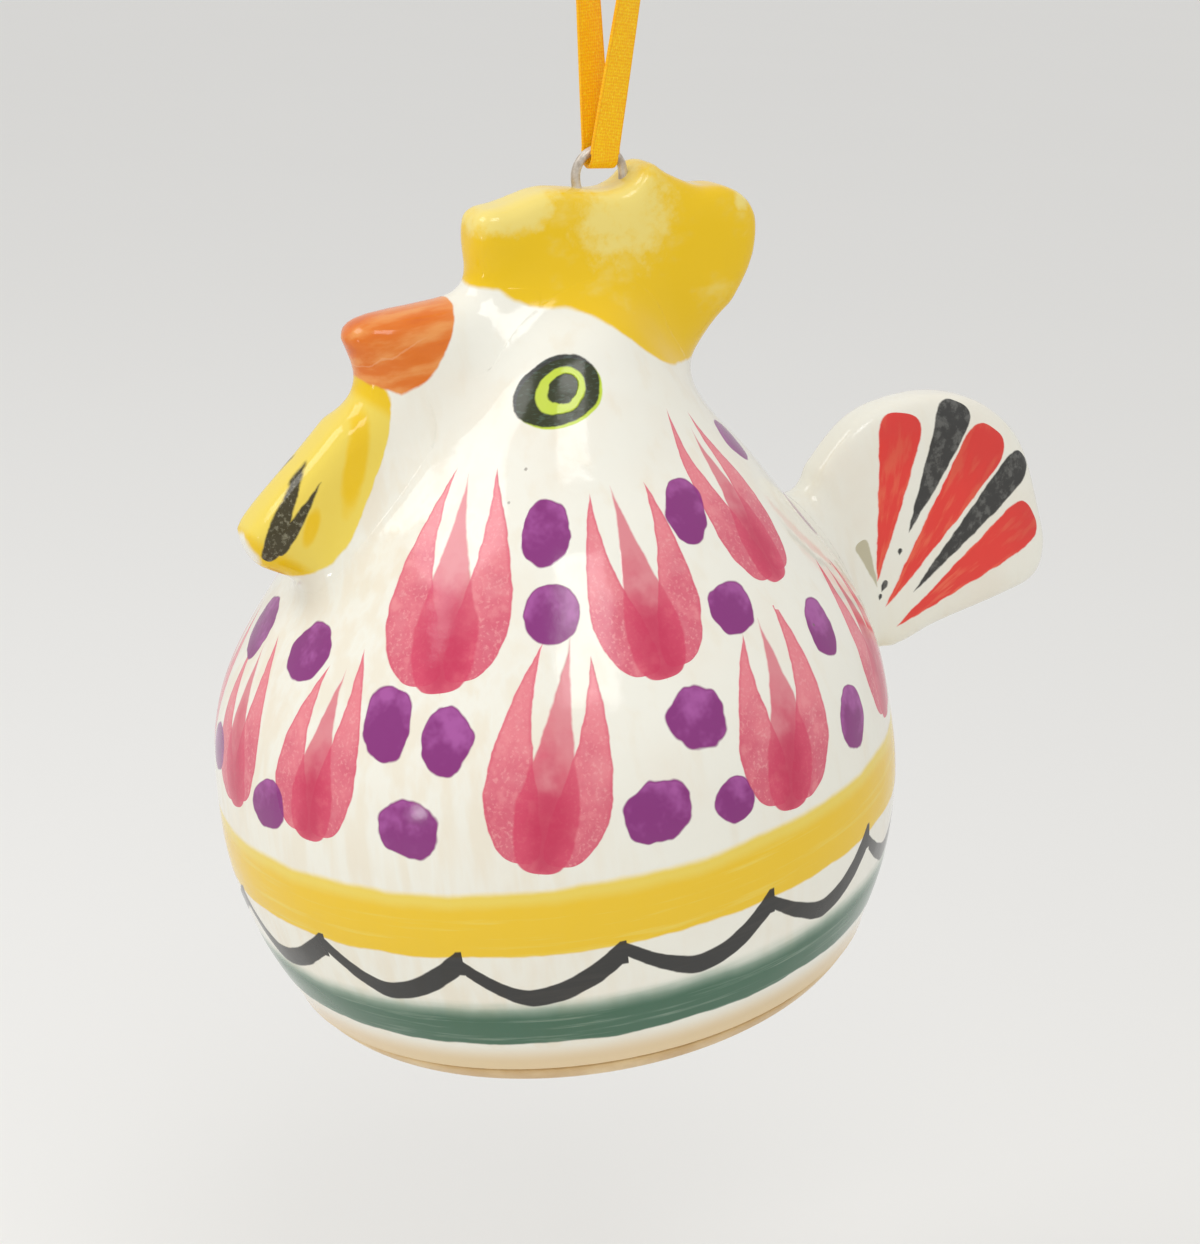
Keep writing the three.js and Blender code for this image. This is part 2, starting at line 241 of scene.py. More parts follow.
# Second shades, where there is more or less of a colour.
SHADES = {
    "cloud": srgb(230, 206, 176),
    "speck": srgb(104, 92, 84),
    "wet blush": srgb(208, 74, 104),
    "dry blush": srgb(240, 164, 164),
    "thin rose": srgb(226, 112, 126),
    "rose tip": srgb(216, 94, 114),
    "deep rose": srgb(192, 38, 80),
    "thin plum": srgb(170, 78, 160),
    "worn eye": srgb(66, 84, 80),
    "green mist": srgb(112, 164, 138),
    "dry scallop": srgb(74, 66, 60),
    # Grey grit on the wattle's dark strokes: dry brushwork with a painted sheen.
    "prong grit and sheen": srgb(150, 148, 128),
    "thin orange": srgb(240, 172, 100),
    "pale orange": srgb(240, 176, 112),
    "deep orange": srgb(200, 84, 14),
    "mouth": srgb(244, 196, 150),
    "thin red": srgb(240, 112, 70),
    "deep red": srgb(206, 18, 14),
    "dry tail": srgb(112, 112, 108),
    "olive": srgb(152, 138, 78),
    "wire stain": srgb(168, 156, 142),
    "base stain": srgb(200, 164, 110),
    # Painted sheen of the satin: the shade of its weave, and its glints.
    "painted satin shade": srgb(248, 172, 0),
    "satin light": srgb(255, 222, 70),
    "satin edge": srgb(244, 164, 0),
    "floor stain": srgb(216, 214, 210),
}


def settings(name):
    """The values of one group, as the panel shows them."""
    return getattr(bpy.context.scene, "rooster_" + name)


# Node trees.
class Wire:
    """The output of a node, which can be used in sums."""

    def __init__(self, board, socket):
        self.board = board
        self.socket = socket

    def __add__(self, other):
        return self.board.math("ADD", self, other)

    def __sub__(self, other):
        return self.board.math("SUBTRACT", self, other)

    def __rsub__(self, other):
        return self.board.math("SUBTRACT", other, self)

    def __mul__(self, other):
        return self.board.math("MULTIPLY", self, other)

    def __truediv__(self, other):
        return self.board.math("DIVIDE", self, other)

    def __pow__(self, other):
        return self.board.math("POWER", self, other)

    def __abs__(self):
        return self.board.math("ABSOLUTE", self)

    __radd__ = __add__
    __rmul__ = __mul__


class Board:
    """Adds nodes to a tree, and feeds each from values or from other nodes."""

    def __init__(self, tree):
        self.tree = tree

    def feed(self, socket, value):
        if isinstance(value, Wire):
            self.tree.links.new(value.socket, socket)
        elif socket.type == "RGBA":
            socket.default_value = (*value, 1)
        else:
            socket.default_value = value

    def node(self, kind, feeds=None, **looks):
        made = self.tree.nodes.new(kind)
        for key, value in looks.items():
            setattr(made, key, value)
        for key, value in (feeds or {}).items():
            self.feed(made.inputs[key], value)
        return made

    def wire(self, kind, feeds=None, out=0, **looks):
        return Wire(self, self.node(kind, feeds, **looks).outputs[out])

    def math(self, operation, *values):
        return self.wire("ShaderNodeMath", dict(enumerate(values)), operation=operation)

    def least(self, *values):
        return reduce(lambda one, other: self.math("MINIMUM", one, other), values)

    def most(self, *values):
        return reduce(lambda one, other: self.math("MAXIMUM", one, other), values)

    def clamp(self, value):
        return self.least(self.most(value, 0.0), 1.0)

    def away(self, across, up):
        """Length of a line that goes so far across and up."""
        return self.math("SQRT", across * across + up * up)

    def step(self, value, low, high):
        """0 below low and 1 above high, with a soft change between them."""
        return self.wire(
            "ShaderNodeMapRange",
            {0: value, 1: low, 2: high},
            interpolation_type="SMOOTHSTEP",
        )

    def mix(self, share, one, two):
        return self.wire("ShaderNodeMix", {0: share, 6: one, 7: two}, out=2, data_type="RGBA")

    def parts(self, vector):
        made = self.node("ShaderNodeSeparateXYZ", {0: vector})
        return [Wire(self, out) for out in made.outputs]

    def join(self, x, y, z):
        return self.wire("ShaderNodeCombineXYZ", {0: x, 1: y, 2: z})

    def placed(self, vector, at=(0, 0, 0), turn=(0, 0, 0), scale=(1, 1, 1)):
        """A place as it is seen from a frame that stands at another."""
        feeds = {"Vector": vector, "Location": at, "Rotation": turn, "Scale": scale}
        return self.wire("ShaderNodeMapping", feeds, vector_type="TEXTURE")

    def noise(self, vector, scale, detail=2.0, rough=0.5):
        feeds = {"Vector": vector, "Scale": scale, "Detail": detail, "Roughness": rough}
        return self.wire("ShaderNodeTexNoise", feeds)

    def shake(self, vector, scale, size, detail=3.0, rough=0.5):
        """Noise about zero, which makes an edge or a shade uneven."""
        return (self.noise(vector, scale, detail, rough) - 0.5) * size

    def stretched(self, vector, scales, detail=2.0):
        """Noise drawn out along some axes."""
        return self.noise(self.placed(vector, scale=[1 / s for s in scales]), 1.0, detail)

    def curve(self, value, points):
        """A value read off a smooth curve through points from 0 to 1."""
        made = self.node("ShaderNodeFloatCurve", {1: value})
        line = made.mapping.curves[0].points
        for _ in points[2:]:
            line.new(0.5, 0.5)
        for point, place in zip(line, points):
            point.location = place
        made.mapping.update()
        return Wire(self, made.outputs[0])

    def bump(self, height, depth, strength):
        return self.wire("ShaderNodeBump", {"Height": height, "Distance": depth, "Strength": strength})

    def use(self, made_by, *values):
        """Places a shader group, which is built the first time."""
        tree = bpy.data.node_groups.get(made_by.label) or made_by()
        made = self.node("ShaderNodeGroup", node_tree=tree)
        for socket, value in zip(made.inputs, values):
            self.feed(socket, value)
        return [Wire(self, out) for out in made.outputs]


def shader_group(inputs, outputs):
    """Makes a function of wires a shader group; a name with :v is a vector and with :c a colour."""
    kinds = {"": "NodeSocketFloat", "v": "NodeSocketVector", "c": "NodeSocketColor"}

    def wrapped(build):
        def made():
            tree = bpy.data.node_groups.new(made.label, "ShaderNodeTree")
            for names, way in ((inputs, "INPUT"), (outputs, "OUTPUT")):
                for name in names.split():
                    label, _, kind = name.partition(":")
                    tree.interface.new_socket(label, in_out=way, socket_type=kinds[kind])
            board = Board(tree)
            entry = tree.nodes.new("NodeGroupInput")
            result = build(board, *(Wire(board, out) for out in list(entry.outputs)[:-1]))
            leave = tree.nodes.new("NodeGroupOutput")
            for socket, value in zip(leave.inputs, result):
                board.feed(socket, value)
            return tree

        made.label = build.__name__.replace("_", " ")
        return made

    return wrapped


# Curves and forms, in the bird's own frame.
def spline(points, steps, closed=False):
    """Points of a smooth curve through the given ones, the same number between each two."""
    points = np.array(points, float)
    count = len(points)
    pick = (lambda i: points[i % count]) if closed else (lambda i: points[min(max(i, 0), count - 1)])
    share = np.linspace(0, 1, steps, endpoint=False)[:, None]
    runs = []
    for i in range(count if closed else count - 1):
        before, start, end, after = (pick(i + k) for k in (-1, 0, 1, 2))
        leave, arrive = (end - before) / 2, (after - start) / 2
        cubic = 2 * start - 2 * end + leave + arrive
        square = -3 * start + 3 * end - 2 * leave - arrive
        runs.append(cubic * share**3 + square * share**2 + leave * share + start)
    return np.vstack(runs if closed else runs + [points[-1:]])


side_line = spline(PROFILE, 24)
side_run = np.r_[0, np.cumsum(np.linalg.norm(np.diff(side_line, axis=0), axis=1))]


def radius_at(z):
    return np.interp(z, side_line[:, 1], side_line[:, 0])


def run_at(z):
    """Length along the body's side from its seam up to the height z."""
    return np.interp(z, side_line[:, 1], side_run)


def lean_at(z):
    """How far back the ring at the height z stands."""
    return HEAD_BACK * (np.maximum(0, z - BELLY_Z) / (CROWN_Z - BELLY_Z)) ** HEAD_BEND


def added(name, data):
    """A new object in the scene."""
    made = bpy.data.objects.new(name, data)
    bpy.context.scene.collection.objects.link(made)
    return made


def mesh_object(name, points, faces):
    """A new object from points in the bird's own frame."""
    mesh = bpy.data.meshes.new(name)
    mesh.from_pydata([tuple(p) for p in points], [], faces)
    mesh.transform(HANG)
    mesh.validate()
    return added(name, mesh)


def wrap(rows, columns, first):
    """Quads of a grid of rows that closes round, numbered from first."""
    return [
        (
            first + r * columns + c,
            first + r * columns + (c + 1) % columns,
            first + (r + 1) * columns + (c + 1) % columns,
            first + (r + 1) * columns + c,
        )
        for r in range(rows - 1)
        for c in range(columns)
    ]


def capped(name, start, rings, end):
    """A closed form of rings of as many points each, whose ends run to a point."""
    columns = len(rings[0])
    points = [start, *np.vstack(rings), end]
    last = len(points) - 1
    top = last - columns
    faces = wrap(len(rings), columns, 1)
    faces += [(0, 1 + (c + 1) % columns, 1 + c) for c in range(columns)]
    faces += [(last, top + c, top + (c + 1) % columns) for c in range(columns)]
    return mesh_object(name, points, faces)


def turned_form(name, line, columns):
    """A leaned lathe of a line of radius and height, closed at both ends."""
    around = np.linspace(0, 2 * np.pi, columns, endpoint=False)
    rings = [np.c_[r * np.sin(around), lean_at(z) - r * np.cos(around), 0 * around + z] for r, z in line]
    start, end = ((0, lean_at(z), z) for z in (line[0][1], line[-1][1]))
    return capped(name, start, rings, end)


def body_form(name, grow=0.0, floor=None, columns=192):
    """The body's outer form, moved outwards by grow and closed flat below."""
    along = np.gradient(side_line, axis=0)
    along /= np.linalg.norm(along, axis=1)[:, None]
    line = side_line + grow * np.c_[along[:, 1], -along[:, 0]]
    line[:, 0] = np.maximum(line[:, 0], TIP_R)
    line = line[line[:, 1] <= line[-1, 1] + 1e-6]
    if floor is not None:
        line = np.vstack([(line[0][0], floor), line])
    return turned_form(name, line, columns)


def plate_form(name, kind, grow=0.0, rows=48, steps=10):
    """A plump plate in the middle plane: a ball drawn out to the rim and flattened."""
    plate = PLATES[kind]
    long, tall, thick = plate["size"]
    at_z = plate["at_z"]
    at_y = lean_at(at_z) + plate["side"] * radius_at(at_z)
    scale = np.array([long, tall])
    datum = np.array([at_y, at_z])
    middle = datum + scale * plate["middle"]
    rim = datum + scale * spline(plate["rim"], steps, closed=True)
    out = rim - middle
    reach = 1 + grow / np.linalg.norm(out, axis=1)[:, None]
    points = []
    for turn in np.linspace(-np.pi / 2, np.pi / 2, rows):
        flat = max(math.cos(turn), 1e-4) ** plate["round"]
        x = math.copysign(abs(math.sin(turn)) ** plate["round"], turn) * (thick / 2 + grow)
        points += [(x, y, z) for y, z in middle + out * reach * flat]
    columns = len(rim)
    last = (rows - 1) * columns
    faces = wrap(rows, columns, 0)
    faces.append(tuple(range(columns))[::-1])
    faces.append(tuple(range(last, last + columns)))
    return mesh_object(name, points, faces)


def chin_form(rows=25, columns=48):
    """A wad of clay that fills the hollow between beak, wattle and head."""
    middle, half = np.array(CHIN_AT), np.array(CHIN_HALF)
    around = np.linspace(0, 2 * np.pi, columns, endpoint=False)
    rings = []
    for rise in np.linspace(-np.pi / 2, np.pi / 2, rows)[1:-1]:
        flat = math.cos(rise)
        ball = np.c_[flat * np.sin(around), flat * np.cos(around), 0 * around + math.sin(rise)]
        rings.append(middle + half * ball)
    foot, crown = (middle + half * (0, 0, end) for end in (-1, 1))
    return capped("clay_chin", foot, rings, crown)


def outward(obj):
    """Turns a closed form's faces outwards."""
    work = bmesh.new()
    work.from_mesh(obj.data)
    bmesh.ops.remove_doubles(work, verts=work.verts, dist=1e-8)
    bmesh.ops.recalc_face_normals(work, faces=work.faces)
    work.to_mesh(obj.data)
    work.free()
    return obj


def applied(obj):
    """Makes what the modifiers give the object's own mesh."""
    graph = bpy.context.evaluated_depsgraph_get()
    made = bpy.data.meshes.new_from_object(obj.evaluated_get(graph))
    if not made.polygons:
        raise RuntimeError(obj.name + " came out empty")
    old = obj.data
    obj.modifiers.clear()
    obj.data = made
    made.name = obj.name
    bpy.data.meshes.remove(old)
    return obj


def carve(obj, tool, operation):
    cut = obj.modifiers.new("Carve", "BOOLEAN")
    cut.operation = operation
    cut.solver = "MANIFOLD"
    cut.object = tool
    return applied(obj)


def copy_of(obj, name):
    mesh = obj.data.copy()
    mesh.name = name
    return added(name, mesh)


def discard(*objs):
    for obj in objs:
        mesh = obj.data
        bpy.data.objects.remove(obj)
        bpy.data.meshes.remove(mesh)


def read(items, key, width=1):
    """Whole numbers that each of a mesh's items holds."""
    values = np.empty(len(items) * width, int)
    items.foreach_get(key, values)
    return values


def coordinates(mesh):
    flat = np.empty(len(mesh.vertices) * 3)
    mesh.vertices.foreach_get("co", flat)
    return flat.reshape(-1, 3)


def upright(points):
    """Points of the row's frame in the bird's own frame, in millimetres."""
    back = np.array(HANG.inverted())
    return points @ back[:3, :3].T + back[:3, 3]


def smooth_joints(obj, forms, clay):
    """Rounds the clay over at the luted joints, and takes the grain off everywhere."""
    mesh = obj.data
    points = coordinates(mesh)
    away = {}
    for kind, form in forms.items():
        faces = [tuple(p.vertices) for p in form.data.polygons]
        tree = BVHTree.FromPolygons([v.co for v in form.data.vertices], faces)
        away[kind] = np.array([tree.find_nearest(p)[3] for p in points]) / MM
    joint = np.zeros(len(points))
    for one, other, reach in JOINTS:
        joint = np.maximum(joint, 1 - np.maximum(away[one], away[other]) / reach)
    joint = joint[:, None]
    pairs = read(mesh.edges, "vertices", 2)
    one, two = pairs[::2], pairs[1::2]
    count = np.bincount(pairs, minlength=len(points))[:, None]

    def mean():
        """The mean of what is beside each point."""
        total = np.zeros_like(points)
        for axis in range(3):
            total[:, axis] += np.bincount(one, points[two, axis], len(points))
            total[:, axis] += np.bincount(two, points[one, axis], len(points))
        return total / count

    for _ in range(clay.passes):
        points += RUB * joint * (mean() - points)
    for step in range(GRAIN_RUBS):
        points += (RUB_BACK if step % 2 else RUB) * (mean() - points)
    mesh.vertices.foreach_set("co", points.ravel())
    mesh.update()


def largest_shell(obj):
    """Drops any crumb that a cut left, and keeps the piece itself."""
    work = bmesh.new()
    work.from_mesh(obj.data)
    left = set(work.verts)
    shells = []
    while left:
        shell, edge = set(), [left.pop()]
        while edge:
            vert = edge.pop()
            shell.add(vert)
            for link in vert.link_edges:
                other = link.other_vert(vert)
                if other in left:
                    left.discard(other)
                    edge.append(other)
        shells.append(shell)
    shells.sort(key=len)
    for shell in shells[:-1]:
        bmesh.ops.delete(work, geom=list(shell), context="VERTS")
    work.to_mesh(obj.data)
    work.free()
    return obj


def skin(obj, finish):
    """One finish, smooth shading, and a sharp line only where a cut meets the glazed skin."""
    mesh = obj.data
    mesh.materials.clear()
    mesh.materials.append(finish)
    mesh.polygons.foreach_set("material_index", [0] * len(mesh.polygons))
    mesh.polygons.foreach_set("use_smooth", [True] * len(mesh.polygons))
    mesh.set_sharp_from_angle(angle=GLAZE_BEND)


class ROOSTER_OT_clay(bpy.types.Operator):
    """Form the body and its luted pieces, and fuse them"""

    bl_idname = "rooster.clay"
    bl_label = "Form the clay"

    def execute(self, context):
        clay = settings("clay")
        forms = {"body": outward(body_form("clay_body", floor=BODY_FLOOR))}
        for kind in PLATES:
            forms[kind] = outward(plate_form("clay_" + kind, kind))
        forms["chin"] = outward(chin_form())
        blank = copy_of(forms["body"], "clay_blank")
        for kind in (*PLATES, "chin"):
            carve(blank, forms[kind], "UNION")
        fuse = blank.modifiers.new("Fuse", "REMESH")
        fuse.mode = "VOXEL"
        fuse.voxel_size = clay.voxel
        applied(blank)
        smooth_joints(blank, forms, clay)
        discard(*forms.values())
        return {"FINISHED"}


def part_from_clay(kind, grow, paint_of):
    """Cuts one luted piece off the fused clay, as far outside its plate as grow says, and paints it."""
    name = "glazed_" + kind
    blank = bpy.data.objects["clay_blank"]
    tool = outward(plate_form("tool", kind, grow))
    body = outward(body_form("tool_body", settings("clay").seam / MM))
    carve(tool, body, "DIFFERENCE")
    piece = carve(copy_of(blank, name), tool, "INTERSECT")
    carve(blank, tool, "DIFFERENCE")
    discard(tool, body)
    skin(largest_shell(piece), glazed(name, paint_of))
    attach(piece, "bird")
    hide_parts(kind)


class ROOSTER_OT_luted(bpy.types.Operator):
    """Part the beak, wattle, tail and comb from the clay and paint them"""

    bl_idname = "rooster.luted"
    bl_label = "Luted pieces"

    def execute(self, context):
        part_from_clay("beak", 1.5, head_colours)
        part_from_clay("wattle", 2.0, head_colours)
        part_from_clay("tail", 3.0, tail_colours)
        part_from_clay("comb", 3.0, comb_colours)
        return {"FINISHED"}


class ROOSTER_OT_body(bpy.types.Operator):
    """Hollow the body and paint it"""

    bl_idname = "rooster.body"
    bl_label = "Body"

    def execute(self, context):
        body = bpy.data.objects["clay_blank"]
        body.name = body.data.name = "glazed_body"
        hollow = outward(body_form("tool", -WALL, floor=-BASE_TOP, columns=64))
        below = outward(turned_form("tool_floor", [(CUT_R, -BASE_TOP), (CUT_R, SEAM_Z)], columns=64))
        for tool in (hollow, below):
            carve(body, tool, "DIFFERENCE")
        discard(hollow, below)
        largest_shell(body)
        lay_marks(body)
        skin(body, glazed("painted body", body_colours))
        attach(body, "bird")
        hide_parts("body_shell")
        return {"FINISHED"}


# Effects of brush and glaze. Places are in millimetres in the bird's own frame.
@shader_group("", "Place:v Around Height")
def bird_place(board):
    """The place on the upright bird in millimetres, its angle round from the beak and its height."""
    seen = board.wire("ShaderNodeTexCoord", out="Object")
    place = board.placed(seen, FOOT, (SLOPE, 0, 0), (MM, MM, MM))
    x, y, z = board.parts(place)
    rise = board.most(z - BELLY_Z, 0.0) / (CROWN_Z - BELLY_Z)
    around = board.math("ARCTAN2", x, rise**HEAD_BEND * HEAD_BACK - y)
    return place, around * math.degrees(1), z


# How square the round end of a brush stroke is: 2 is a plain oval.
BRUSH_ROUND = 3.0


@shader_group("Across Along Foot Bow Tip Reach Wide Belly Taper", "Inside")
def brush_stroke(board, across, along, foot, bow, tip, reach, wide, belly, taper):
    """One stroke of a loaded brush: round where it is set down, and drawn out to a whisker."""
    share = along / reach
    on = board.clamp(share)
    rest = 1 - on
    middle = foot * rest * rest + bow * on * rest * 2 + tip * on * on
    short = 1 - board.least(on / belly, 1.0)
    swell = (1 - short**BRUSH_ROUND) ** (1 / BRUSH_ROUND)
    drawn = board.least(rest / (1 - belly), 1.0) ** taper
    half = wide * board.least(swell, drawn)
    beyond = abs(share - on) * reach
    return [half - abs(across - middle) - beyond]


# A flower's strokes, in half its spread across and in its length along: how far out a side stroke starts
# and bows, how far up it starts, and then each stroke's half width, widest place and taper.
PETAL_FOOT = 0.3
PETAL_BOW = 0.9
PETAL_LIFT = 0.04
PETAL_SHAPE = (0.43, 0.3, 1.0)
CORE_BOW = 0.05
CORE_SHAPE = (0.5, 0.3, 1.25)


@shader_group("Mark:v Tips:v Reaches:v Place:v", "Wash Pool Core Depth Soak")
def flower(board, mark, tips, reaches, place):
    """Three strokes from one foot: two pale ones that bow out, and a full one laid over them."""
    u, v, _ = board.parts(mark)
    u = u + board.shake(place, 0.5, 0.09, 2.0)
    left_tip, core_tip, right_tip = board.parts(tips)
    left_reach, core_reach, right_reach = board.parts(reaches)

    def petal(way, tip, reach):
        foot, bow = way * PETAL_FOOT, way * PETAL_BOW
        raised, rest = v - PETAL_LIFT, reach - PETAL_LIFT
        return board.use(brush_stroke, u, raised, foot, bow, tip, rest, *PETAL_SHAPE)[0]

    side = board.most(petal(-1, left_tip, left_reach), petal(1, right_tip, right_reach))
    core = board.use(brush_stroke, u, v, 0.0, CORE_BOW, core_tip, core_reach, *CORE_SHAPE)[0]
    wash = board.step(side, -0.015, 0.015)
    pool = board.step(side, 0.07, 0.0) * wash
    cloud = board.shake(place, 0.3, 1.0)
    depth = board.step(core + cloud * 0.8, -0.05, 0.4)
    soak = board.step(v + cloud * 1.1, 0.7, 0.2)
    return wash, pool, board.step(core, -0.02, 0.03), depth, soak


@shader_group("Mark:v Place:v", "Cover Depth")
def dab(board, mark, place):
    """One touch of the brush, with a ragged edge."""
    u, v, _ = board.parts(mark)
    inside = 1.0 - board.away(u, v) + board.shake(place, 0.24, 0.8, 2.5)
    rim = board.step(inside, 0.12, 0.02)
    pale = board.step(board.noise(place, 0.3, 3.0, 0.6) + v * 0.12, 0.46, 0.74)
    return board.step(inside, -0.03, 0.05), board.most(1 - pale * 0.85, rim)


# Where the comb's yellow ends round the head: share of the half turn, and height in its own span.
COMB_LINE_LOW = 58.0
COMB_LINE_SPAN = 14.0
COMB_LINE = [
    (0.0, 1.0), (0.08, 0.97), (0.16, 0.86), (0.272, 0.793), (0.396, 0.76), (0.547, 0.65),
    (0.634, 0.51), (0.703, 0.378), (0.79, 0.25), (1.0, 0.13),
]
# Where the comb's yellow is thin, in the middle plane: middle and half sizes.
COMB_PATCHES = [(2.4, 78.3, 5.6, 2.2), (13.3, 75.6, 5.4, 5.2), (26.0, 74.0, 0.9, 1.3)]


@shader_group("Around Height Place:v", "Cover Thin")
def comb_paint(board, around, height, place):
    """Yellow brushed down from the comb to a line round the head."""
    line = board.curve(abs(around) / 180, COMB_LINE) * COMB_LINE_SPAN + COMB_LINE_LOW
    edge = height - line + board.shake(place, 0.35, 0.7)
    patches = board.noise(board.placed(place, scale=(1.6, 1.6, 1.0)), 0.2, 4.0, 0.6)
    _, y, z = board.parts(place)
    uneven = (patches - 0.5) * 2.6 + board.shake(place, 0.9, 1.8, 3.0, 0.6)
    thin = board.step(patches, 0.55, 0.8) * 0.6
    for middle_y, middle_z, half_y, half_z in COMB_PATCHES:
        a = (y - middle_y) / half_y
        b = (z - middle_z) / half_z
        thin = board.most(thin, board.step(a * a + b * b + uneven, 1.5, 0.2))
    return board.step(edge, -0.2, 0.25), thin


# The eye: angle round from the beak and height of its middle, then millimetres along the skin to one
# degree and to one of height.
EYE_AROUND = 68.2
EYE_HEIGHT = 62.75
EYE_STEP = 0.195
EYE_RISE = 1.25
# Its discs, from the lowest coat up: back and up from the middle, half width, half height, how ragged and
# how soft the edge is.
EYE_DISCS = [
    (0.3, -0.35, 4.0, 3.3, 0.5, 0.1),
    (0.0, 0.0, 4.1, 3.4, 0.8, 0.12),
    (0.25, -0.1, 2.35, 2.2, 0.7, 0.12),
    (0.5, 0.05, 1.45, 1.4, 1.2, 0.1),
]


@shader_group("Around Height Place:v", "Ring Black Dry")
def eye(board, around, height, place):
    """A black eye with a lime ring, on both sides of the head."""
    ragged = board.shake(place, 0.5, 0.9)
    across = (abs(around) - EYE_AROUND) * EYE_STEP
    up = (height - EYE_HEIGHT) * EYE_RISE

    def disc(back, lift, wide, tall, shake, soft):
        inside = 1.0 - board.away((across - back) / wide, (up - lift) / tall)
        return board.step(inside * wide + ragged * shake, -soft, soft)

    under, outer, ring, pupil = (disc(*row) for row in EYE_DISCS)
    black = board.most(outer * (1 - ring), pupil)
    dry = board.noise(board.placed(place, scale=(1.0, 1.0, 0.3)), 1.3, 3.0, 0.6)
    return board.most(under, ring), black, board.step(dry, 0.5, 0.7)


# The bands: heights over which each starts, ends and gets thin.
YELLOW_FOOT = (17.55, 17.85)
YELLOW_TOP = (24.7, 23.9)
YELLOW_THIN = (22.4, 23.6)
GREEN_FOOT = (7.0, 7.25)
GREEN_TOP = (13.0, 11.2)
GREEN_THIN = (10.2, 12.4)
# The scalloped line: angles of its first cusp and of each step, height and place in the step of its dips,
# half its width and what it gains over a step, height and bend of its fall and climb, and the climb's end.
SCALLOP_START = 23.4
SCALLOP_STEP = 360 / 14
SCALLOP_LOW = 13.2
SCALLOP_DIP = 0.42
SCALLOP_HALF = 0.78
SCALLOP_GAIN = 0.52
SCALLOP_FALL = 3.6
SCALLOP_FALL_BEND = 1.5
SCALLOP_CLIMB = 4.4
SCALLOP_CLIMB_BEND = 1.8
SCALLOP_STOP = 3.9


@shader_group("Around Height Place:v", "Yellow Straw Green Mist Line Dry")
def bands(board, around, height, place):
    """The yellow and green bands and the scalloped line between them."""
    drag = board.noise(board.join(around * 0.035, height * 1.1, 0), 1.0, 4.0, 0.6)
    shake = board.shake(place, 0.16, 1.1)
    z = height + shake
    yellow = board.step(z, *YELLOW_FOOT) * board.step(z, *YELLOW_TOP)
    straw = board.most(board.step(z, *YELLOW_THIN), board.step(drag, 0.52, 0.72) * 0.75)
    green = board.step(z, *GREEN_FOOT) * board.step(z + (drag - 0.5) * 0.8, *GREEN_TOP)
    mist = board.most(board.step(z, *GREEN_THIN), board.step(drag, 0.5, 0.75) * 0.5)
    turns = (around - SCALLOP_START) / SCALLOP_STEP
    share = board.math("FRACT", turns)
    number = board.math("FLOOR", turns)
    uneven = board.wire("ShaderNodeTexWhiteNoise", {"W": number}, noise_dimensions="1D") - 0.5
    dip = SCALLOP_DIP + uneven * 0.1
    fall = board.most(dip - share, 0.0) / dip
    climb = board.most(share - dip, 0.0) / (1 - dip)
    drop = fall**SCALLOP_FALL_BEND * SCALLOP_FALL
    rise = board.least(climb**SCALLOP_CLIMB_BEND * SCALLOP_CLIMB, SCALLOP_STOP)
    middle = SCALLOP_LOW + uneven * 0.7 + drop + rise
    brush = board.shake(board.join(around * 0.12, height, 0), 0.9, 0.35)
    half = SCALLOP_HALF + share * SCALLOP_GAIN + brush
    line = board.step(half - abs(height + shake * 0.4 - middle), -0.1, 0.1)
    return yellow, straw, green, mist, line, board.step(drag, 0.45, 0.8)


# The clear glaze: how rough it is at least, how deep its skin is uneven, and how much it bends light.
GLAZE_ROUGH = 0.06
GLAZE_DEPTH = 0.00025
GLAZE_IOR = 1.46


@shader_group("Paint:c Cover Place:v", "Paint:c Roughness Relief")
def clear_glaze(board, paint, cover, place):
    """Clear glaze over the paint: specks, pinholes and an uneven skin."""
    cells = board.node("ShaderNodeTexVoronoi", {"Vector": place, "Scale": 0.2})
    chosen = board.parts(Wire(board, cells.outputs["Color"]))[0]
    near = board.step(Wire(board, cells.outputs["Distance"]), 0.05, 0.025)
    speck = near * board.step(chosen, 0.55, 0.6)
    cloud = board.noise(place, 0.09, 3.0)
    shade = board.mix(board.step(cloud, 0.45, 0.75) * (1 - cover) * 0.2, paint, SHADES["cloud"])
    shade = board.mix(speck * 0.6, shade, SHADES["speck"])
    grain = board.noise(place, 1.6, 3.0)
    uneven = board.step(cloud, 0.3, 0.8) * 0.05 + board.step(grain, 0.5, 0.8) * 0.04
    relief = board.noise(place, 0.16, 2.0) * 0.8 + grain * 0.06 + cover * 0.12 - speck * 0.25
    return shade, GLAZE_ROUGH + uneven + cover * 0.05, relief


# Finishes.
def new_finish(name):
    """A new material, and the board of its nodes."""
    material = bpy.data.materials.new(name)
    material.use_nodes = True
    return material, Board(material.node_tree)


def coated(material, board, feeds):
    """The material, once its shader is fed."""
    surface = material.node_tree.nodes["Principled BSDF"]
    for key, value in feeds.items():
        board.feed(surface.inputs[key], value)
    return material


def glazed(name, paint_of):
    """A glossy glazed finish, whose paint is mixed by a function of the place on the bird."""
    material, board = new_finish(name)
    place, around, height = board.use(bird_place)
    paint, cover = paint_of(board, place, around, height)
    shade, rough, relief = board.use(clear_glaze, paint, cover, place)
    uneven = board.bump(relief, GLAZE_DEPTH, strength=0.5)
    feeds = {"Base Color": shade, "Roughness": rough, "Normal": uneven, "IOR": GLAZE_IOR}
    return coated(material, board, feeds)


# The white ground: heights over which the cream shows low on the body, and where the front of the throat is
# warmer, in glaze runs with a painted warm reflection.
CREAM_EDGE = (7.2, 4.4)
THROAT_FRONT = (-4.0, -16.0)
THROAT_TOP = (64.0, 58.0)


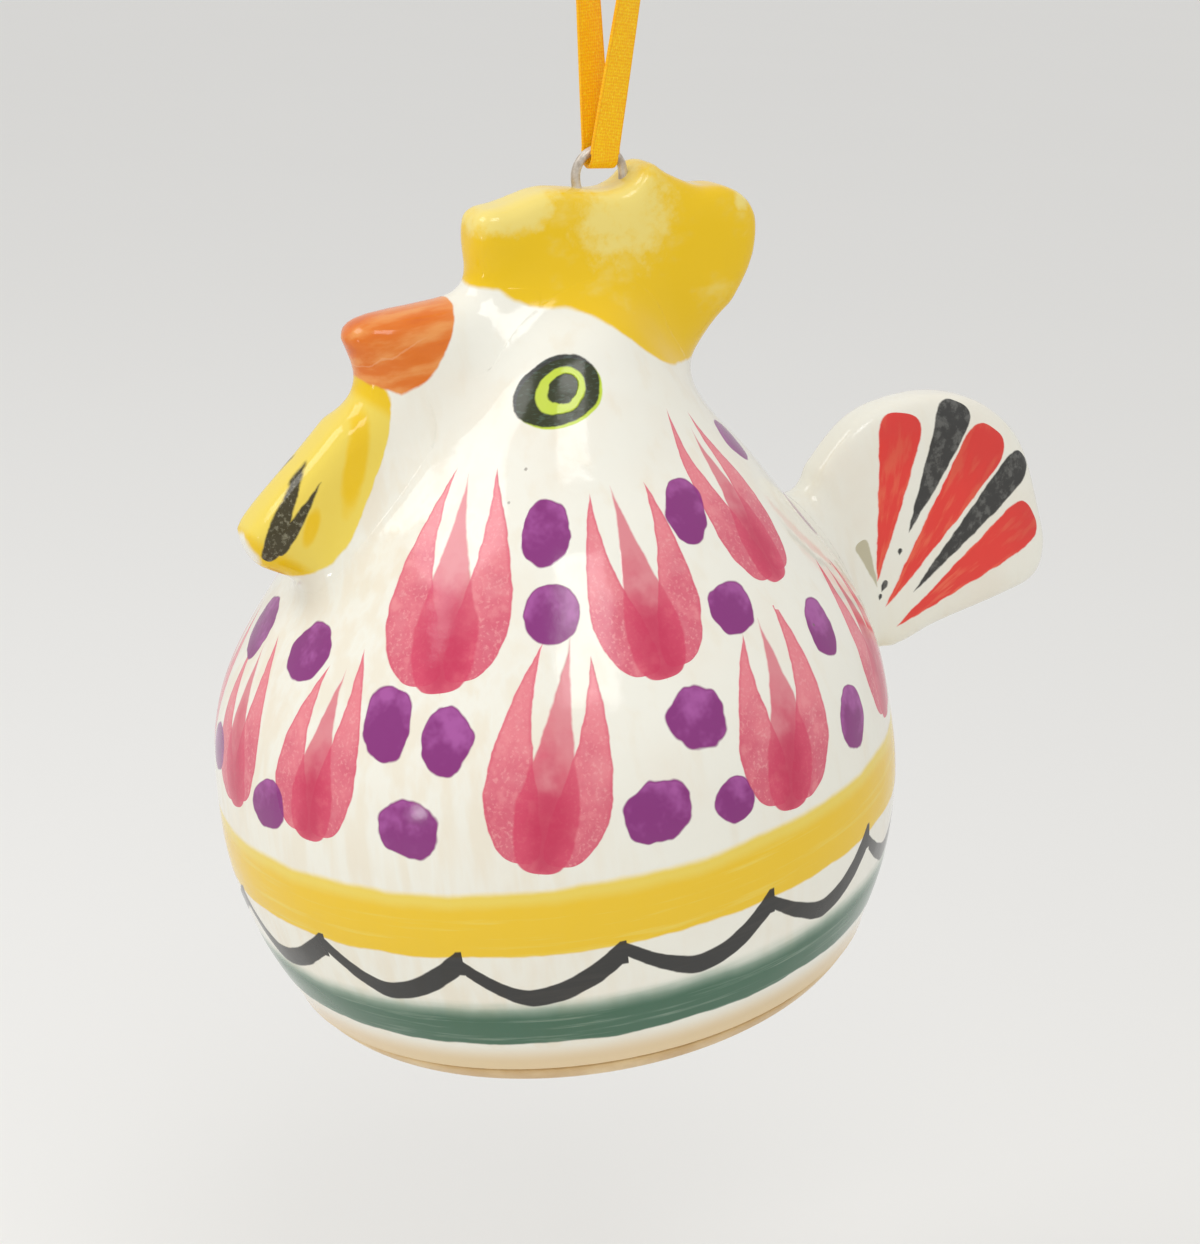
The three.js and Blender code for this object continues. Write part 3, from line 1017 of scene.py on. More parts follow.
def white_ground(board, place, height):
    """White glaze that thins over the cream clay, low on the body and in streaks, with a painted warm
    reflection in the streaks on the front of the throat.
    """
    paint = settings("paint")
    streaks = board.stretched(place, (0.45, 0.45, 0.06), 3.0)
    warm = board.most(board.step(height, *CREAM_EDGE) * 0.85, board.step(streaks, 0.5, 0.8) * 0.16)
    # Painted warm reflection: the front of the throat is warmed in its glaze runs.
    throat_runs_and_warm_reflection = board.step(board.parts(place)[1], *THROAT_FRONT) * board.step(height, *THROAT_TOP)
    warm = board.most(warm, throat_runs_and_warm_reflection * board.step(streaks, 0.6, 0.36) * 0.22)
    return board.mix(warm, paint.white, paint.cream)


def stroke(board, place, start, end, wide, belly, taper, bow=0.0):
    """A brush stroke on both flanks between two points of the middle plane."""
    run = Vector(end) - Vector(start)
    turn = (math.atan2(run[1], run[0]), 0, 0)
    _, along, across = board.parts(board.placed(place, (0, *start), turn))
    across = across + board.shake(place, 0.6, 0.5)
    inside = board.use(brush_stroke, across, along, 0.0, bow, 0.0, run.length, wide / 2, belly, taper)[0]
    return board.step(inside, -0.1, 0.12)


# The wattle's leaf in the middle plane: middle, slope and half sizes, how it flares and how square it is.
WATTLE_MIDDLE = (-20.2, 57.6)
WATTLE_TURN = math.radians(47)
WATTLE_HALF = 10.1
WATTLE_WIDE = 4.3
WATTLE_FLARE = 0.14
WATTLE_ROUND = 2.6
# Its bare tip: how far along the leaf it starts, and how much farther to each millimetre across.
WATTLE_TIP = -10.3
WATTLE_TIP_SLANT = 0.62
# Where its yellow is deep: places along and across, half sizes and slants of two pools, then the rims.
WATTLE_POOLS = [(2.9, -1.5, 4.9, 1.2, 0.36), (-4.4, -1.1, 1.9, 0.8, 0.25)]
WATTLE_RIM = (3.5, 4.2)
WATTLE_ENDS = [(7.6, 8.8), (-7.4, -8.6)]
# Its two dark strokes: start, end, width, widest place, taper and bow, and where on the flank they begin.
PRONGS = [
    ((-26.9, 51.2), (-20.1, 60.5), 1.9, 0.3, 1.7, 1.2),
    ((-25.9, 51.7), (-20.7, 57.6), 1.4, 0.3, 1.0, 0.2),
]
PRONG_FLANK = (1.0, 1.7)


def wattle_paint(board, place, shake, colour):
    """The yellow leaf of the wattle with its two dark strokes, laid on a colour, and where the leaf is."""
    paint = settings("paint")
    _, along, across = board.parts(board.placed(place, (0, *WATTLE_MIDDLE), (WATTLE_TURN, 0, 0)))
    u = abs(along / WATTLE_HALF)
    w = board.most(across * -1.0, 0.0) / (WATTLE_WIDE - along * WATTLE_FLARE)
    leaf = board.step(1.0 - u**WATTLE_ROUND - w**WATTLE_ROUND + shake * 0.25, -0.05, 0.06)
    leaf = leaf * board.step(along - WATTLE_TIP - across * WATTLE_TIP_SLANT + shake, -0.2, 0.3)

    def pool(at, over, long, wide, slant):
        a = (along - at) / long
        b = (across - over - (along - at) * slant) / wide
        return board.step(a * a + b * b + shake * 0.9, 1.3, 0.4)

    deep = board.most(
        *(pool(*row) for row in WATTLE_POOLS),
        board.step(across, *WATTLE_RIM),
        *(board.step(along, *end) for end in WATTLE_ENDS),
    )
    yellow = board.mix(deep * 0.92 + shake * 0.2, paint.straw, paint.yellow)
    colour = board.mix(leaf, colour, yellow)
    flanks = board.step(abs(board.parts(place)[0]), *PRONG_FLANK)
    prongs = board.most(*(stroke(board, place, *row) for row in PRONGS)) * flanks
    # Grey grit on the dark strokes: dry brushwork with a painted sheen.
    grit_and_sheen = board.step(board.noise(place, 2.2, 3.0, 0.7), 0.5, 0.7)
    worn = board.mix(grit_and_sheen * 0.55, paint.black, SHADES["prong grit and sheen"])
    return board.mix(prongs * 0.95, colour, worn), leaf


# The lower edge of the beak's orange: its height, where and how it rises to the head and to the tip, and
# then where the orange ends at the head and gets pale before that.
BEAK_EDGE_Z = 63.9
BEAK_HEAD_Y = -12.3
BEAK_HEAD_RUN = 8.0
BEAK_HEAD_RISE = 7.6
BEAK_HEAD_BEND = 2.1
BEAK_TIP_Y = -11.7
BEAK_TIP_SLOPE = 0.56
BEAK_BACK = (-3.3, -3.8)
BEAK_PALE = (-7.0, -3.6)
# The line of the mouth: a point of it, its slope and where it ends.
MOUTH_Y = -12.0
MOUTH_Z = 67.6
MOUTH_SLOPE = 0.28
MOUTH_BACK = (-8.0, -10.0)


def beak_paint(board, place, shake, colour):
    """The brushed orange of the beak, laid on a colour, and where it is."""
    paint = settings("paint")
    _, y, z = board.parts(place)
    to_head = board.clamp((y - BEAK_HEAD_Y) / BEAK_HEAD_RUN)
    to_tip = board.most(BEAK_TIP_Y - y, 0.0)
    edge = to_head**BEAK_HEAD_BEND * BEAK_HEAD_RISE + to_tip * BEAK_TIP_SLOPE + BEAK_EDGE_Z
    beak = board.step(z - edge + shake * 0.8, -0.2, 0.2) * board.step(y + shake * 0.6, *BEAK_BACK)
    brushed = board.stretched(place, (0.5, 0.16, 0.7), 4.0)
    orange = board.mix(board.step(brushed, 0.42, 0.7) * 0.6, paint.orange, SHADES["thin orange"])
    orange = board.mix(board.step(y, *BEAK_PALE) * 0.35, orange, SHADES["pale orange"])
    orange = board.mix(board.step(brushed, 0.42, 0.26) * 0.35, orange, SHADES["deep orange"])
    off_line = abs(z - MOUTH_Z - (y - MOUTH_Y) * MOUTH_SLOPE + shake * 1.3)
    mouth = board.step(off_line, 0.14, 0.03) * board.step(y, *MOUTH_BACK)
    orange = board.mix(mouth * 0.25, orange, SHADES["mouth"])
    return board.mix(beak, colour, orange), beak


def comb_colours(board, place, around, height):
    """The white ground with the comb's yellow, and where it is painted."""
    paint = settings("paint")
    cover, thin = board.use(comb_paint, around, height, place)
    yellow = board.mix(thin * 0.9, paint.yellow, paint.pale)
    return board.mix(cover, white_ground(board, place, height), yellow), cover


def head_colours(board, place, around, height):
    """The comb's colours with the wattle and the beak, wherever they reach on the head."""
    colour, cover = comb_colours(board, place, around, height)
    shake = board.shake(place, 0.45, 1.0)
    colour, leaf = wattle_paint(board, place, shake, colour)
    colour, beak = beak_paint(board, place, shake, colour)
    return colour, board.most(cover, leaf, beak)


def body_colours(board, place, around, height):
    """The head's colours with the flowers, dabs, eyes and bands, in the order they are brushed on."""
    paint = settings("paint")
    colour, cover = head_colours(board, place, around, height)

    def lay(share, tint):
        nonlocal colour
        colour = board.mix(share, colour, tint)

    def map_of(name):
        return board.wire("ShaderNodeUVMap", uv_map=name)

    def marked(name):
        return board.wire("ShaderNodeAttribute", out="Vector", attribute_name=name)

    wash, pool, core, depth, soak = board.use(
        flower, map_of("flower"), marked("flower_tips"), marked("flower_reaches"), place
    )
    mottle = board.noise(place, 0.5, 4.0, 0.6)
    grain = board.step(board.noise(place, 3.0, 2.0), 0.5, 0.72)
    light = board.step(mottle, 0.5, 0.7)
    blush = board.mix(soak * 0.75, paint.blush, SHADES["wet blush"])
    blush = board.mix(board.most(grain * 0.45, light * 0.4), blush, SHADES["dry blush"])
    lay(wash * (0.84 + mottle * 0.26), blush)
    lay(pool * 0.45, paint.rose)
    rose = board.mix(board.most(light * 0.5, grain * 0.2), paint.rose, SHADES["thin rose"])
    lay(core * (0.82 + soak * 0.13), board.mix(soak, SHADES["rose tip"], rose))
    lay(core * depth * soak * 0.7, SHADES["deep rose"])
    dot, ink = board.use(dab, map_of("dab"), place)
    lay(dot * 0.97, board.mix(ink, SHADES["thin plum"], paint.plum))
    ring, black, worn = board.use(eye, around, height, place)
    lay(ring, paint.lime)
    lay(black * 0.96, board.mix(worn * 0.6, paint.black, SHADES["worn eye"]))
    yellow, straw, green, mist, line, dry = board.use(bands, around, height, place)
    lay(yellow * 0.97, board.mix(straw * 0.85, paint.yellow, paint.straw))
    lay(green * (0.95 - mist * 0.35), board.mix(mist * 0.5, paint.green, SHADES["green mist"]))
    lay(line * 0.97, board.mix(dry * 0.3, paint.black, SHADES["dry scallop"]))
    return colour, board.most(cover, wash, core, dot, black, yellow, green, line)


# The tail's strokes in the middle plane: the root they spread from, then colour, round end, thin end and
# width of each, the widest place of a stroke and of a speck, the taper, and how far out the red gets deep.
TAIL_ROOT = (34.5, 24.0)
TAIL_STROKES = [
    ("red", (41.9, 48.5), (36.9, 31.6), 4.9),
    ("black", (48.7, 48.0), (41.1, 35.85), 4.2),
    ("red", (52.6, 44.2), (37.7, 28.5), 5.4),
    ("black", (56.2, 40.3), (41.1, 29.2), 3.6),
    ("red", (56.7, 33.8), (38.9, 25.9), 5.2),
    ("olive", (35.3, 36.4), (36.9, 31.0), 1.6),
    ("speck", (38.0, 31.4), (37.3, 30.3), 0.7),
    ("speck", (40.0, 34.4), (39.8, 33.7), 0.5),
    ("speck", (37.2, 30.1), (36.9, 29.5), 0.5),
]
STROKE_BELLY = 0.14
SPECK_BELLY = 0.5
STROKE_TAPER = 0.85
TAIL_DEEP = (22.0, 29.0)


def tail_colours(board, place, around, height):
    """The white ground with red and black strokes spread over it, and where they are."""
    paint = settings("paint")
    colour = white_ground(board, place, height)
    brushed = board.noise(place, 0.9, 4.0, 0.65)
    _, y, z = board.parts(board.placed(place, (0, *TAIL_ROOT)))
    reach = board.away(y, z)
    flow = board.noise(board.join(board.math("ARCTAN2", z, y) * 22, reach * 0.3, 0), 0.7, 3.0)
    red = board.mix(board.step(flow, 0.48, 0.68) * 0.55, paint.red, SHADES["thin red"])
    red = board.mix(board.step(reach + flow * 8, *TAIL_DEEP) * 0.5, red, SHADES["deep red"])
    black = board.mix(board.step(brushed, 0.46, 0.66) * 0.5, paint.black, SHADES["dry tail"])
    kinds = {
        "red": (red, 0.96, STROKE_BELLY),
        "black": (black, 0.96, STROKE_BELLY),
        "speck": (black, 0.96, SPECK_BELLY),
        "olive": (SHADES["olive"], 0.6, STROKE_BELLY),
    }
    marks = []
    for kind, start, end, wide in TAIL_STROKES:
        tint, cover, belly = kinds[kind]
        mark = stroke(board, place, start, end, wide, belly, STROKE_TAPER)
        colour = board.mix(mark * cover, colour, tint)
        marks.append(mark)
    return colour, board.most(*marks)


def plain_finish(name, tint, stain, rough, scale, metal=0.0):
    """A finish of one material: two shades of it, uneven gloss and a fine grain."""
    material, board = new_finish(name)
    place = board.use(bird_place)[0]
    cloud = board.noise(place, scale, 4.0, 0.6)
    grain = board.noise(place, scale * 9, 2.0)
    feeds = {
        "Base Color": board.mix(board.step(cloud, 0.35, 0.7), tint, stain),
        "Roughness": rough + cloud * 0.15,
        "Normal": board.bump(grain * 0.2 + cloud, depth=0.0001, strength=0.5),
        "Metallic": metal,
    }
    return coated(material, board, feeds)


def wire_finish():
    steel = settings("ribbon").steel
    return plain_finish("fired wire", steel, SHADES["wire stain"], rough=0.3, scale=0.8, metal=0.35)


def base_finish():
    cream = settings("paint").cream
    return plain_finish("base clay", cream, SHADES["base stain"], rough=0.3, scale=0.12)


# The ribbon's weave: steps of its ribs and threads, phase of the ribs to a metre across, depth, and where
# the bound edge begins and ends as shares of the width.
RIB_STEP = 0.0003
RIB_SLANT = 2400
THREAD_STEP = 0.00024
WEAVE_DEPTH = 0.00005
BOUND_EDGE = (0.4, 0.44)


def satin_finish():
    """Satin ribbon: fine ribs across it, threads along it and a bound edge; its colour carries a painted
    sheen, lighter and darker with the weave, and painted glints.
    """
    ribbon = settings("ribbon")
    material, board = new_finish("satin")
    x, y, _ = board.parts(board.wire("ShaderNodeUVMap", uv_map="weave"))
    wander = board.noise(board.join(x * 900, y * 350, 0), 1.0, 3.0)
    grains = board.noise(board.join(x * 5200, y * 3400, 0), 1.0, 2.0)
    ribs = board.math("SINE", y * (2 * math.pi / RIB_STEP) + x * RIB_SLANT + wander * 2.5)
    threads = board.math("SINE", x * (2 * math.pi / THREAD_STEP) + wander * 1.5)
    edge = board.step(abs(x), *(ribbon.width * share for share in BOUND_EDGE))
    # Painted sheen: the colour runs lighter and darker with ribs, threads and a slow wander, and bright
    # grains are painted glints.
    light = board.step(ribs * 0.12 + threads * 0.1 + wander * 0.5 + grains, 0.4, 1.1)
    tint = board.mix(light, SHADES["painted satin shade"], ribbon.satin)
    tint = board.mix(board.step(grains, 0.58, 0.72) * 0.5, tint, SHADES["satin light"])
    tint = board.mix(edge * 0.4, tint, SHADES["satin edge"])
    feeds = {
        "Base Color": tint,
        "Roughness": 0.5 - light * 0.2 + wander * 0.1,
        "Normal": board.bump(ribs * 0.25 + threads * 0.25 + grains + edge, WEAVE_DEPTH, strength=0.6),
        "Specular IOR Level": 0.3,
    }
    return coated(material, board, feeds)


# The painted flowers: angle round from the beak and height of the foot, lean and length of the strokes,
# half their spread, then across and along the middle for the left, middle and right tips.
Flower = namedtuple("Flower", "around height lean long half tips reaches")
FLOWERS = [
    Flower(*row)
    for row in (
        (46.5, 41.2, -6.7, 20.4, 6.7, (-2.6, -0.6, 3.2), (20.8, 20.2, 20.2)),
        (89.0, 40.0, -0.6, 18.5, 5.7, (-3.4, -0.6, 3.9), (18.5, 18.8, 18.2)),
        (124.4, 43.1, 2.6, 18.6, 5.0, (-2.5, 0.7, 1.9), (20.0, 17.2, 18.7)),
        (63.1, 25.9, 11.7, 20.4, 6.0, (-2.6, 0.2, 2.5), (20.5, 21.1, 19.6)),
        (105.7, 25.4, 11.7, 18.2, 5.8, (-2.7, 0.0, 2.7), (16.7, 18.0, 19.9)),
        (23.5, 27.8, 0.7, 16.6, 5.3, (-2.1, 0.3, 1.7), (15.9, 15.9, 18.0)),
        (2.0, 27.5, -15.8, 15.9, 5.0, (-2.9, 0.1, 2.8), (15.7, 15.6, 16.4)),
        (141.3, 25.7, 10.0, 16.9, 4.8, (-2.2, -0.4, 2.3), (17.5, 16.7, 16.6)),
        (-43.0, 41.5, 6.0, 19.6, 6.3, (-2.8, 0.4, 2.6), (19.2, 20.0, 20.2)),
        (-85.5, 40.4, 3.0, 18.6, 6.1, (-3.3, 0.6, 2.9), (17.9, 18.9, 18.2)),
        (-122.0, 42.8, 4.5, 18.3, 6.0, (-2.2, 0.0, 2.3), (18.8, 17.6, 19.4)),
        (-24.5, 26.8, -6.0, 17.2, 5.5, (-2.2, -0.2, 2.0), (16.6, 17.4, 16.9)),
        (-63.5, 25.6, -8.5, 19.6, 6.1, (-2.7, 0.1, 2.4), (19.5, 20.3, 19.0)),
        (-104.5, 26.0, -5.0, 18.4, 5.9, (-2.4, 0.3, 2.8), (18.8, 17.7, 17.2)),
        (-142.0, 25.4, 2.0, 17.2, 5.3, (-1.9, 0.2, 1.7), (17.5, 17.8, 16.6)),
    )
]
# Where a flower's middle is along it, and how much its length counts when the nearest flower is chosen.
FLOWER_MIDDLE = 0.45
FLOWER_STRETCH = 1.9
# The painted dabs: angle and height of the middle, half width, half height and lean.
Dab = namedtuple("Dab", "around height half long lean")
DABS = [
    Dab(*row)
    for row in (
        (66.9, 52.4, 2.3, 3.1, 0), (68.3, 46.5, 2.5, 2.6, 0), (108.1, 51.4, 2.4, 3.2, 12),
        (108.0, 43.3, 2.4, 2.6, 0), (127.7, 38.2, 2.2, 2.8, 15), (92.5, 36.4, 3.0, 3.2, 0),
        (125.6, 29.6, 2.5, 2.9, 10), (82.4, 29.8, 3.2, 2.8, 0), (95.3, 28.5, 2.1, 2.3, 0),
        (11.8, 42.6, 3.2, 3.0, -12), (37.1, 38.7, 2.5, 3.3, -8), (48.9, 37.8, 2.5, 3.1, -5),
        (42.9, 30.3, 3.3, 2.8, 0), (12.5, 29.8, 2.6, 2.4, 5), (151.0, 53.2, 2.2, 2.8, 10),
        (161.8, 43.6, 2.2, 3.0, 12),
        (-63.8, 52.0, 2.4, 2.9, 4), (-65.5, 46.2, 2.5, 2.6, 0), (-102.0, 51.4, 2.5, 3.0, -10),
        (-104.0, 43.2, 2.5, 2.5, 0), (-124.0, 37.6, 2.4, 2.8, -12), (-92.0, 35.6, 3.0, 2.9, 0),
        (-124.6, 29.2, 2.6, 2.6, -8), (-83.0, 29.2, 2.9, 2.8, 0), (-12.4, 41.8, 3.0, 3.0, 10),
        (-36.0, 38.2, 2.6, 3.1, 8), (-48.6, 37.2, 2.5, 2.8, 4), (-43.8, 29.6, 3.1, 2.7, 0),
        (-11.0, 31.0, 2.6, 2.5, -6),
    )
]


def unrolled(points):
    """Angle round from the beak in degrees, and height, of points in the bird's own frame."""
    x, y, z = points.T
    return np.degrees(np.arctan2(x, lean_at(z) - y)), z


def beside(angle, z, mark):
    """Places on the skin as seen from a mark's foot: across and along its own lean, in millimetres."""
    turn = np.radians((angle - mark.around + 180) % 360 - 180)
    across = turn * (radius_at(z) + radius_at(mark.height)) / 2
    along = run_at(z) - run_at(mark.height)
    c, s = math.cos(math.radians(mark.lean)), math.sin(math.radians(mark.lean))
    return across * c - along * s, across * s + along * c


def lay_marks(obj):
    """Lays two maps on the body in which each face reads the place beside its nearest mark."""
    mesh = obj.data
    angle, z = unrolled(upright(coordinates(mesh)))
    corner = read(mesh.loops, "vertex_index")
    count = read(mesh.polygons, "loop_total")
    face_of = np.repeat(np.arange(len(count)), count)
    lead = corner[read(mesh.polygons, "loop_start")]

    def scaled(mark, at):
        """Places of some points beside a mark, in its own half width and length."""
        across, along = beside(angle[at], z[at], mark)
        return np.c_[across / mark.half, along / mark.long]

    def laid(name, marks, middle=0.0, stretch=1.0):
        """Lays one map, and gives the number of the mark that each face belongs to."""
        beyond = [(scaled(mark, lead) - (0, middle)) * (1, stretch) for mark in marks]
        pick = np.argmin(np.linalg.norm(beyond, axis=2), axis=0)
        places = np.zeros((len(corner), 2))
        for number, mark in enumerate(marks):
            own = pick[face_of] == number
            places[own] = scaled(mark, corner[own])
        mesh.uv_layers.new(name=name).data.foreach_set("uv", places.ravel())
        return pick

    pick = laid("flower", FLOWERS, FLOWER_MIDDLE, FLOWER_STRETCH)
    tips = [np.array(mark.tips) / mark.half for mark in FLOWERS]
    reaches = [np.array(mark.reaches) / mark.long for mark in FLOWERS]
    for name, rows in (("flower_tips", tips), ("flower_reaches", reaches)):
        values = np.array(rows)[pick].ravel()
        mesh.attributes.new(name, "FLOAT_VECTOR", "FACE").data.foreach_set("vector", values)
    laid("dab", DABS)


# The wire loop, in millimetres: height of its centre over the comb's dip, depth of its feet in the clay,
# which point of the comb's rim is the dip, and the collar of glaze round each foot: top, run and swell.
WIRE_RISE = 1.2
WIRE_DEPTH = 3.4
COMB_DIP = 6
COLLAR_TOP = 0.9
COLLAR_RUN = 1.2
COLLAR_SWELL = 0.9
# The ribbon, in metres: the bight's clearance round the wire, the gap and overlap of its stretches, and how
# far above the wire loop the legs begin and the bight ends.
BIGHT_SLACK = 0.00035
JOINT_GAP = 0.0003
OVERLAP = 0.0006
LEG_LIFT = 0.000225
BIGHT_LIFT = 0.0001
# How far short of the top of the hook each leg stops, in radians.
ARCH_GAP = 0.03
# Its knot: half sizes, how far inside them the line of its middle runs, and that line's turns and start.
KNOT_HALF = (0.0026, 0.00225, 0.0021)
KNOT_ROOM = (0.0006, 0.0006, 0.0009)
KNOT_TURNS = (1.0, 2.0)
KNOT_START = 0.4
# Its cut ends: length, and slope from the vertical where an end leaves the knot and at its tip.
END_LONG = 0.014
END_RISE = math.radians(40)
END_DROOP = math.radians(115)
# Shares of the ribbon's size that the bight and the knot are swept in, how round a section's edge is as a
# share of its thickness, and how many points round it off.
BIGHT_SLIM = 0.94
KNOT_SLIM = 0.6
RIBBON_ROUND = 0.45
WIRE_ROUND = 0.499
SWEEP_CORNERS = 5


def strip_tree():
    """A strip of rounded section swept along a path, whose width lies along the path's attribute."""
    name = "swept strip"
    if name in bpy.data.node_groups:
        return bpy.data.node_groups[name]
    tree = bpy.data.node_groups.new(name, "GeometryNodeTree")
    tree.is_modifier = True
    kinds = {
        "Path": "Geometry", "Width": "Float", "Thickness": "Float", "Edge": "Float", "Finish": "Material",
    }
    for label, kind in kinds.items():
        tree.interface.new_socket(label, in_out="INPUT", socket_type="NodeSocket" + kind)
    tree.interface.new_socket("Strip", in_out="OUTPUT", socket_type="NodeSocketGeometry")
    board = Board(tree)
    entry = tree.nodes.new("NodeGroupInput")
    path, width, thick, edge, finish = (Wire(board, entry.outputs[label]) for label in kinds)
    across = board.wire("GeometryNodeInputNamedAttribute", {"Name": "across"}, data_type="FLOAT_VECTOR")
    girth = board.wire("GeometryNodeInputNamedAttribute", {"Name": "girth"}, data_type="FLOAT")
    curve = board.wire("GeometryNodeMeshToCurve", {"Mesh": path})
    curve = board.wire("GeometryNodeSetCurveNormal", {"Curve": curve, "Normal": across}, mode="FREE")
    along = board.node("GeometryNodeCaptureAttribute", domain="POINT")
    along.capture_items.new("FLOAT", "Along")
    board.feed(along.inputs["Geometry"], curve)
    board.feed(along.inputs["Along"], board.wire("GeometryNodeSplineParameter", out="Length"))
    section = board.wire(
        "GeometryNodeCurvePrimitiveQuadrilateral", {"Width": width, "Height": thick}, mode="RECTANGLE"
    )
    section = board.wire(
        "GeometryNodeFilletCurve", {"Curve": section, "Count": SWEEP_CORNERS, "Radius": edge}, mode="POLY"
    )
    place = board.node("GeometryNodeCaptureAttribute", domain="POINT")
    place.capture_items.new("VECTOR", "Place")
    board.feed(place.inputs["Geometry"], section)
    board.feed(place.inputs["Place"], board.wire("GeometryNodeInputPosition"))
    strip = board.wire(
        "GeometryNodeCurveToMesh",
        {
            "Curve": Wire(board, along.outputs["Geometry"]),
            "Profile Curve": Wire(board, place.outputs["Geometry"]),
            "Scale": girth,
            "Fill Caps": True,
        },
    )
    out = board.parts(Wire(board, place.outputs["Place"]))[0]
    laid = board.join(out, Wire(board, along.outputs["Along"]), 0)
    strip = board.wire(
        "GeometryNodeStoreNamedAttribute",
        {"Geometry": strip, "Name": "weave", "Value": laid},
        data_type="FLOAT2",
        domain="CORNER",
    )
    strip = board.wire("GeometryNodeRealizeInstances", {"Geometry": strip})
    strip = board.wire("GeometryNodeSetMaterial", {"Geometry": strip, "Material": finish})
    leave = tree.nodes.new("NodeGroupOutput")
    board.feed(leave.inputs["Strip"], strip)
    return tree


def swept(name, path, across, girth, sizes, finish):
    """A strip along the points of a path, with the way that its width lies at each of them."""
    mesh = bpy.data.meshes.new(name)
    mesh.from_pydata([tuple(p) for p in path], [(i, i + 1) for i in range(len(path) - 1)], [])
    mesh.attributes.new("across", "FLOAT_VECTOR", "POINT").data.foreach_set("vector", np.ravel(across))
    mesh.attributes.new("girth", "FLOAT", "POINT").data.foreach_set("value", np.ravel(girth))
    obj = added(name, mesh)
    strip = obj.modifiers.new("Strip", "NODES")
    strip.node_group = strip_tree()
    values = dict(zip(("Width", "Thickness", "Edge"), sizes), Finish=finish)
    for socket in strip.node_group.interface.items_tree:
        if socket.in_out == "INPUT" and socket.name in values:
            strip[socket.identifier] = values[socket.name]
    skin(outward(applied(obj)), finish)
    return obj


def turned(points, angle):
    """Points turned about the vertical line that the bird hangs on."""
    c, s = math.cos(angle), math.sin(angle)
    return np.atleast_2d(points) @ np.array([[c, s, 0], [-s, c, 0], [0, 0, 1]])


def leg_foot(ribbon):
    """Height of the legs' lower ends, which lie in the bight's upper ones."""
    return -ribbon.drop + ribbon.loop + LEG_LIFT - OVERLAP


def leg_route(side, ribbon):
    """One leg of the ribbon from the bight up and over the hook, and the way that its width lies."""
    near = ribbon.wire / 2 + BIGHT_SLACK + ribbon.thick / 2
    far = ribbon.hook + ribbon.thick / 2
    low = leg_foot(ribbon) + OVERLAP
    high = -ribbon.hook - JOINT_GAP
    share = np.linspace(0, 1, 40)[:, None]
    top = turned([far, 0, high], ribbon.twist)
    leg = np.array([near, 0, low]) * (1 - share) + top * share
    leg = np.vstack([leg[0] - [0, 0, OVERLAP], leg])
    turns = np.r_[0, share[:, 0] * ribbon.twist]
    arc = np.linspace(0, np.pi / 2 - ARCH_GAP, 14)
    arch = np.c_[far * np.cos(arc), 0 * arc, far * np.sin(arc) - ribbon.hook]
    path = np.vstack([leg, turned(arch, ribbon.twist)])
    turns = np.r_[turns, np.full(len(arc), ribbon.twist)]
    across = np.c_[-np.sin(turns), np.cos(turns), 0 * turns]
    return turned(path, side), turned(across, side)


def bight_route(ribbon):
    """The turn of the ribbon under the wire."""
    near = ribbon.wire / 2 + BIGHT_SLACK
    inside = math.sqrt((ribbon.loop - ribbon.wire / 2) ** 2 - (ribbon.width / 2) ** 2)
    bend = inside - BIGHT_SLACK + near - ribbon.drop
    mid = near + ribbon.thick / 2
    top = -ribbon.drop + ribbon.loop + BIGHT_LIFT
    arm = np.array([[mid, 0, top], [mid, 0, leg_foot(ribbon)]])
    turn = np.linspace(0, -np.pi, 25)
    path = np.c_[mid * np.cos(turn), 0 * turn, bend + mid * np.sin(turn)]
    path = np.vstack([arm, path, (arm * [-1, 1, 1])[::-1]])
    return path, np.tile([0.0, 1, 0], (len(path), 1))


def knot_route(ribbon):
    """An overhand turn drawn tight: a three-lobed line that passes over and under itself."""
    t = np.linspace(0, 2 * np.pi, 73) + KNOT_START
    one, two = KNOT_TURNS
    wide = one * np.sin(t) + two * np.sin(2 * t)
    deep = one * np.cos(t) - two * np.cos(2 * t)
    room = np.array(KNOT_HALF) - KNOT_ROOM
    path = np.c_[wide, deep, -np.sin(3 * t)] * room / [one + two, one + two, 1]
    out = path / np.linalg.norm(path, axis=1)[:, None]
    along = np.gradient(path, axis=0)
    across = np.cross(along, out)
    across /= np.linalg.norm(across, axis=1)[:, None]
    path = path + [0, 0, KNOT_HALF[2] - JOINT_GAP]
    return turned(path, ribbon.twist), turned(across, ribbon.twist)


def end_route(side, ribbon):
    """A cut end of the ribbon, which leaves the knot upwards and droops."""
    bow = END_LONG / (END_DROOP - END_RISE)
    slope = np.linspace(END_RISE, END_DROOP, 24)
    out = bow * (math.cos(END_RISE) - np.cos(slope))
    rise = bow * (np.sin(slope) - math.sin(END_RISE))
    path = np.c_[out, 0 * out, KNOT_HALF[2] + rise]
    across = np.tile([0.0, 1, 0], (len(path), 1))
    return turned(path, side + ribbon.twist), turned(across, side + ribbon.twist)


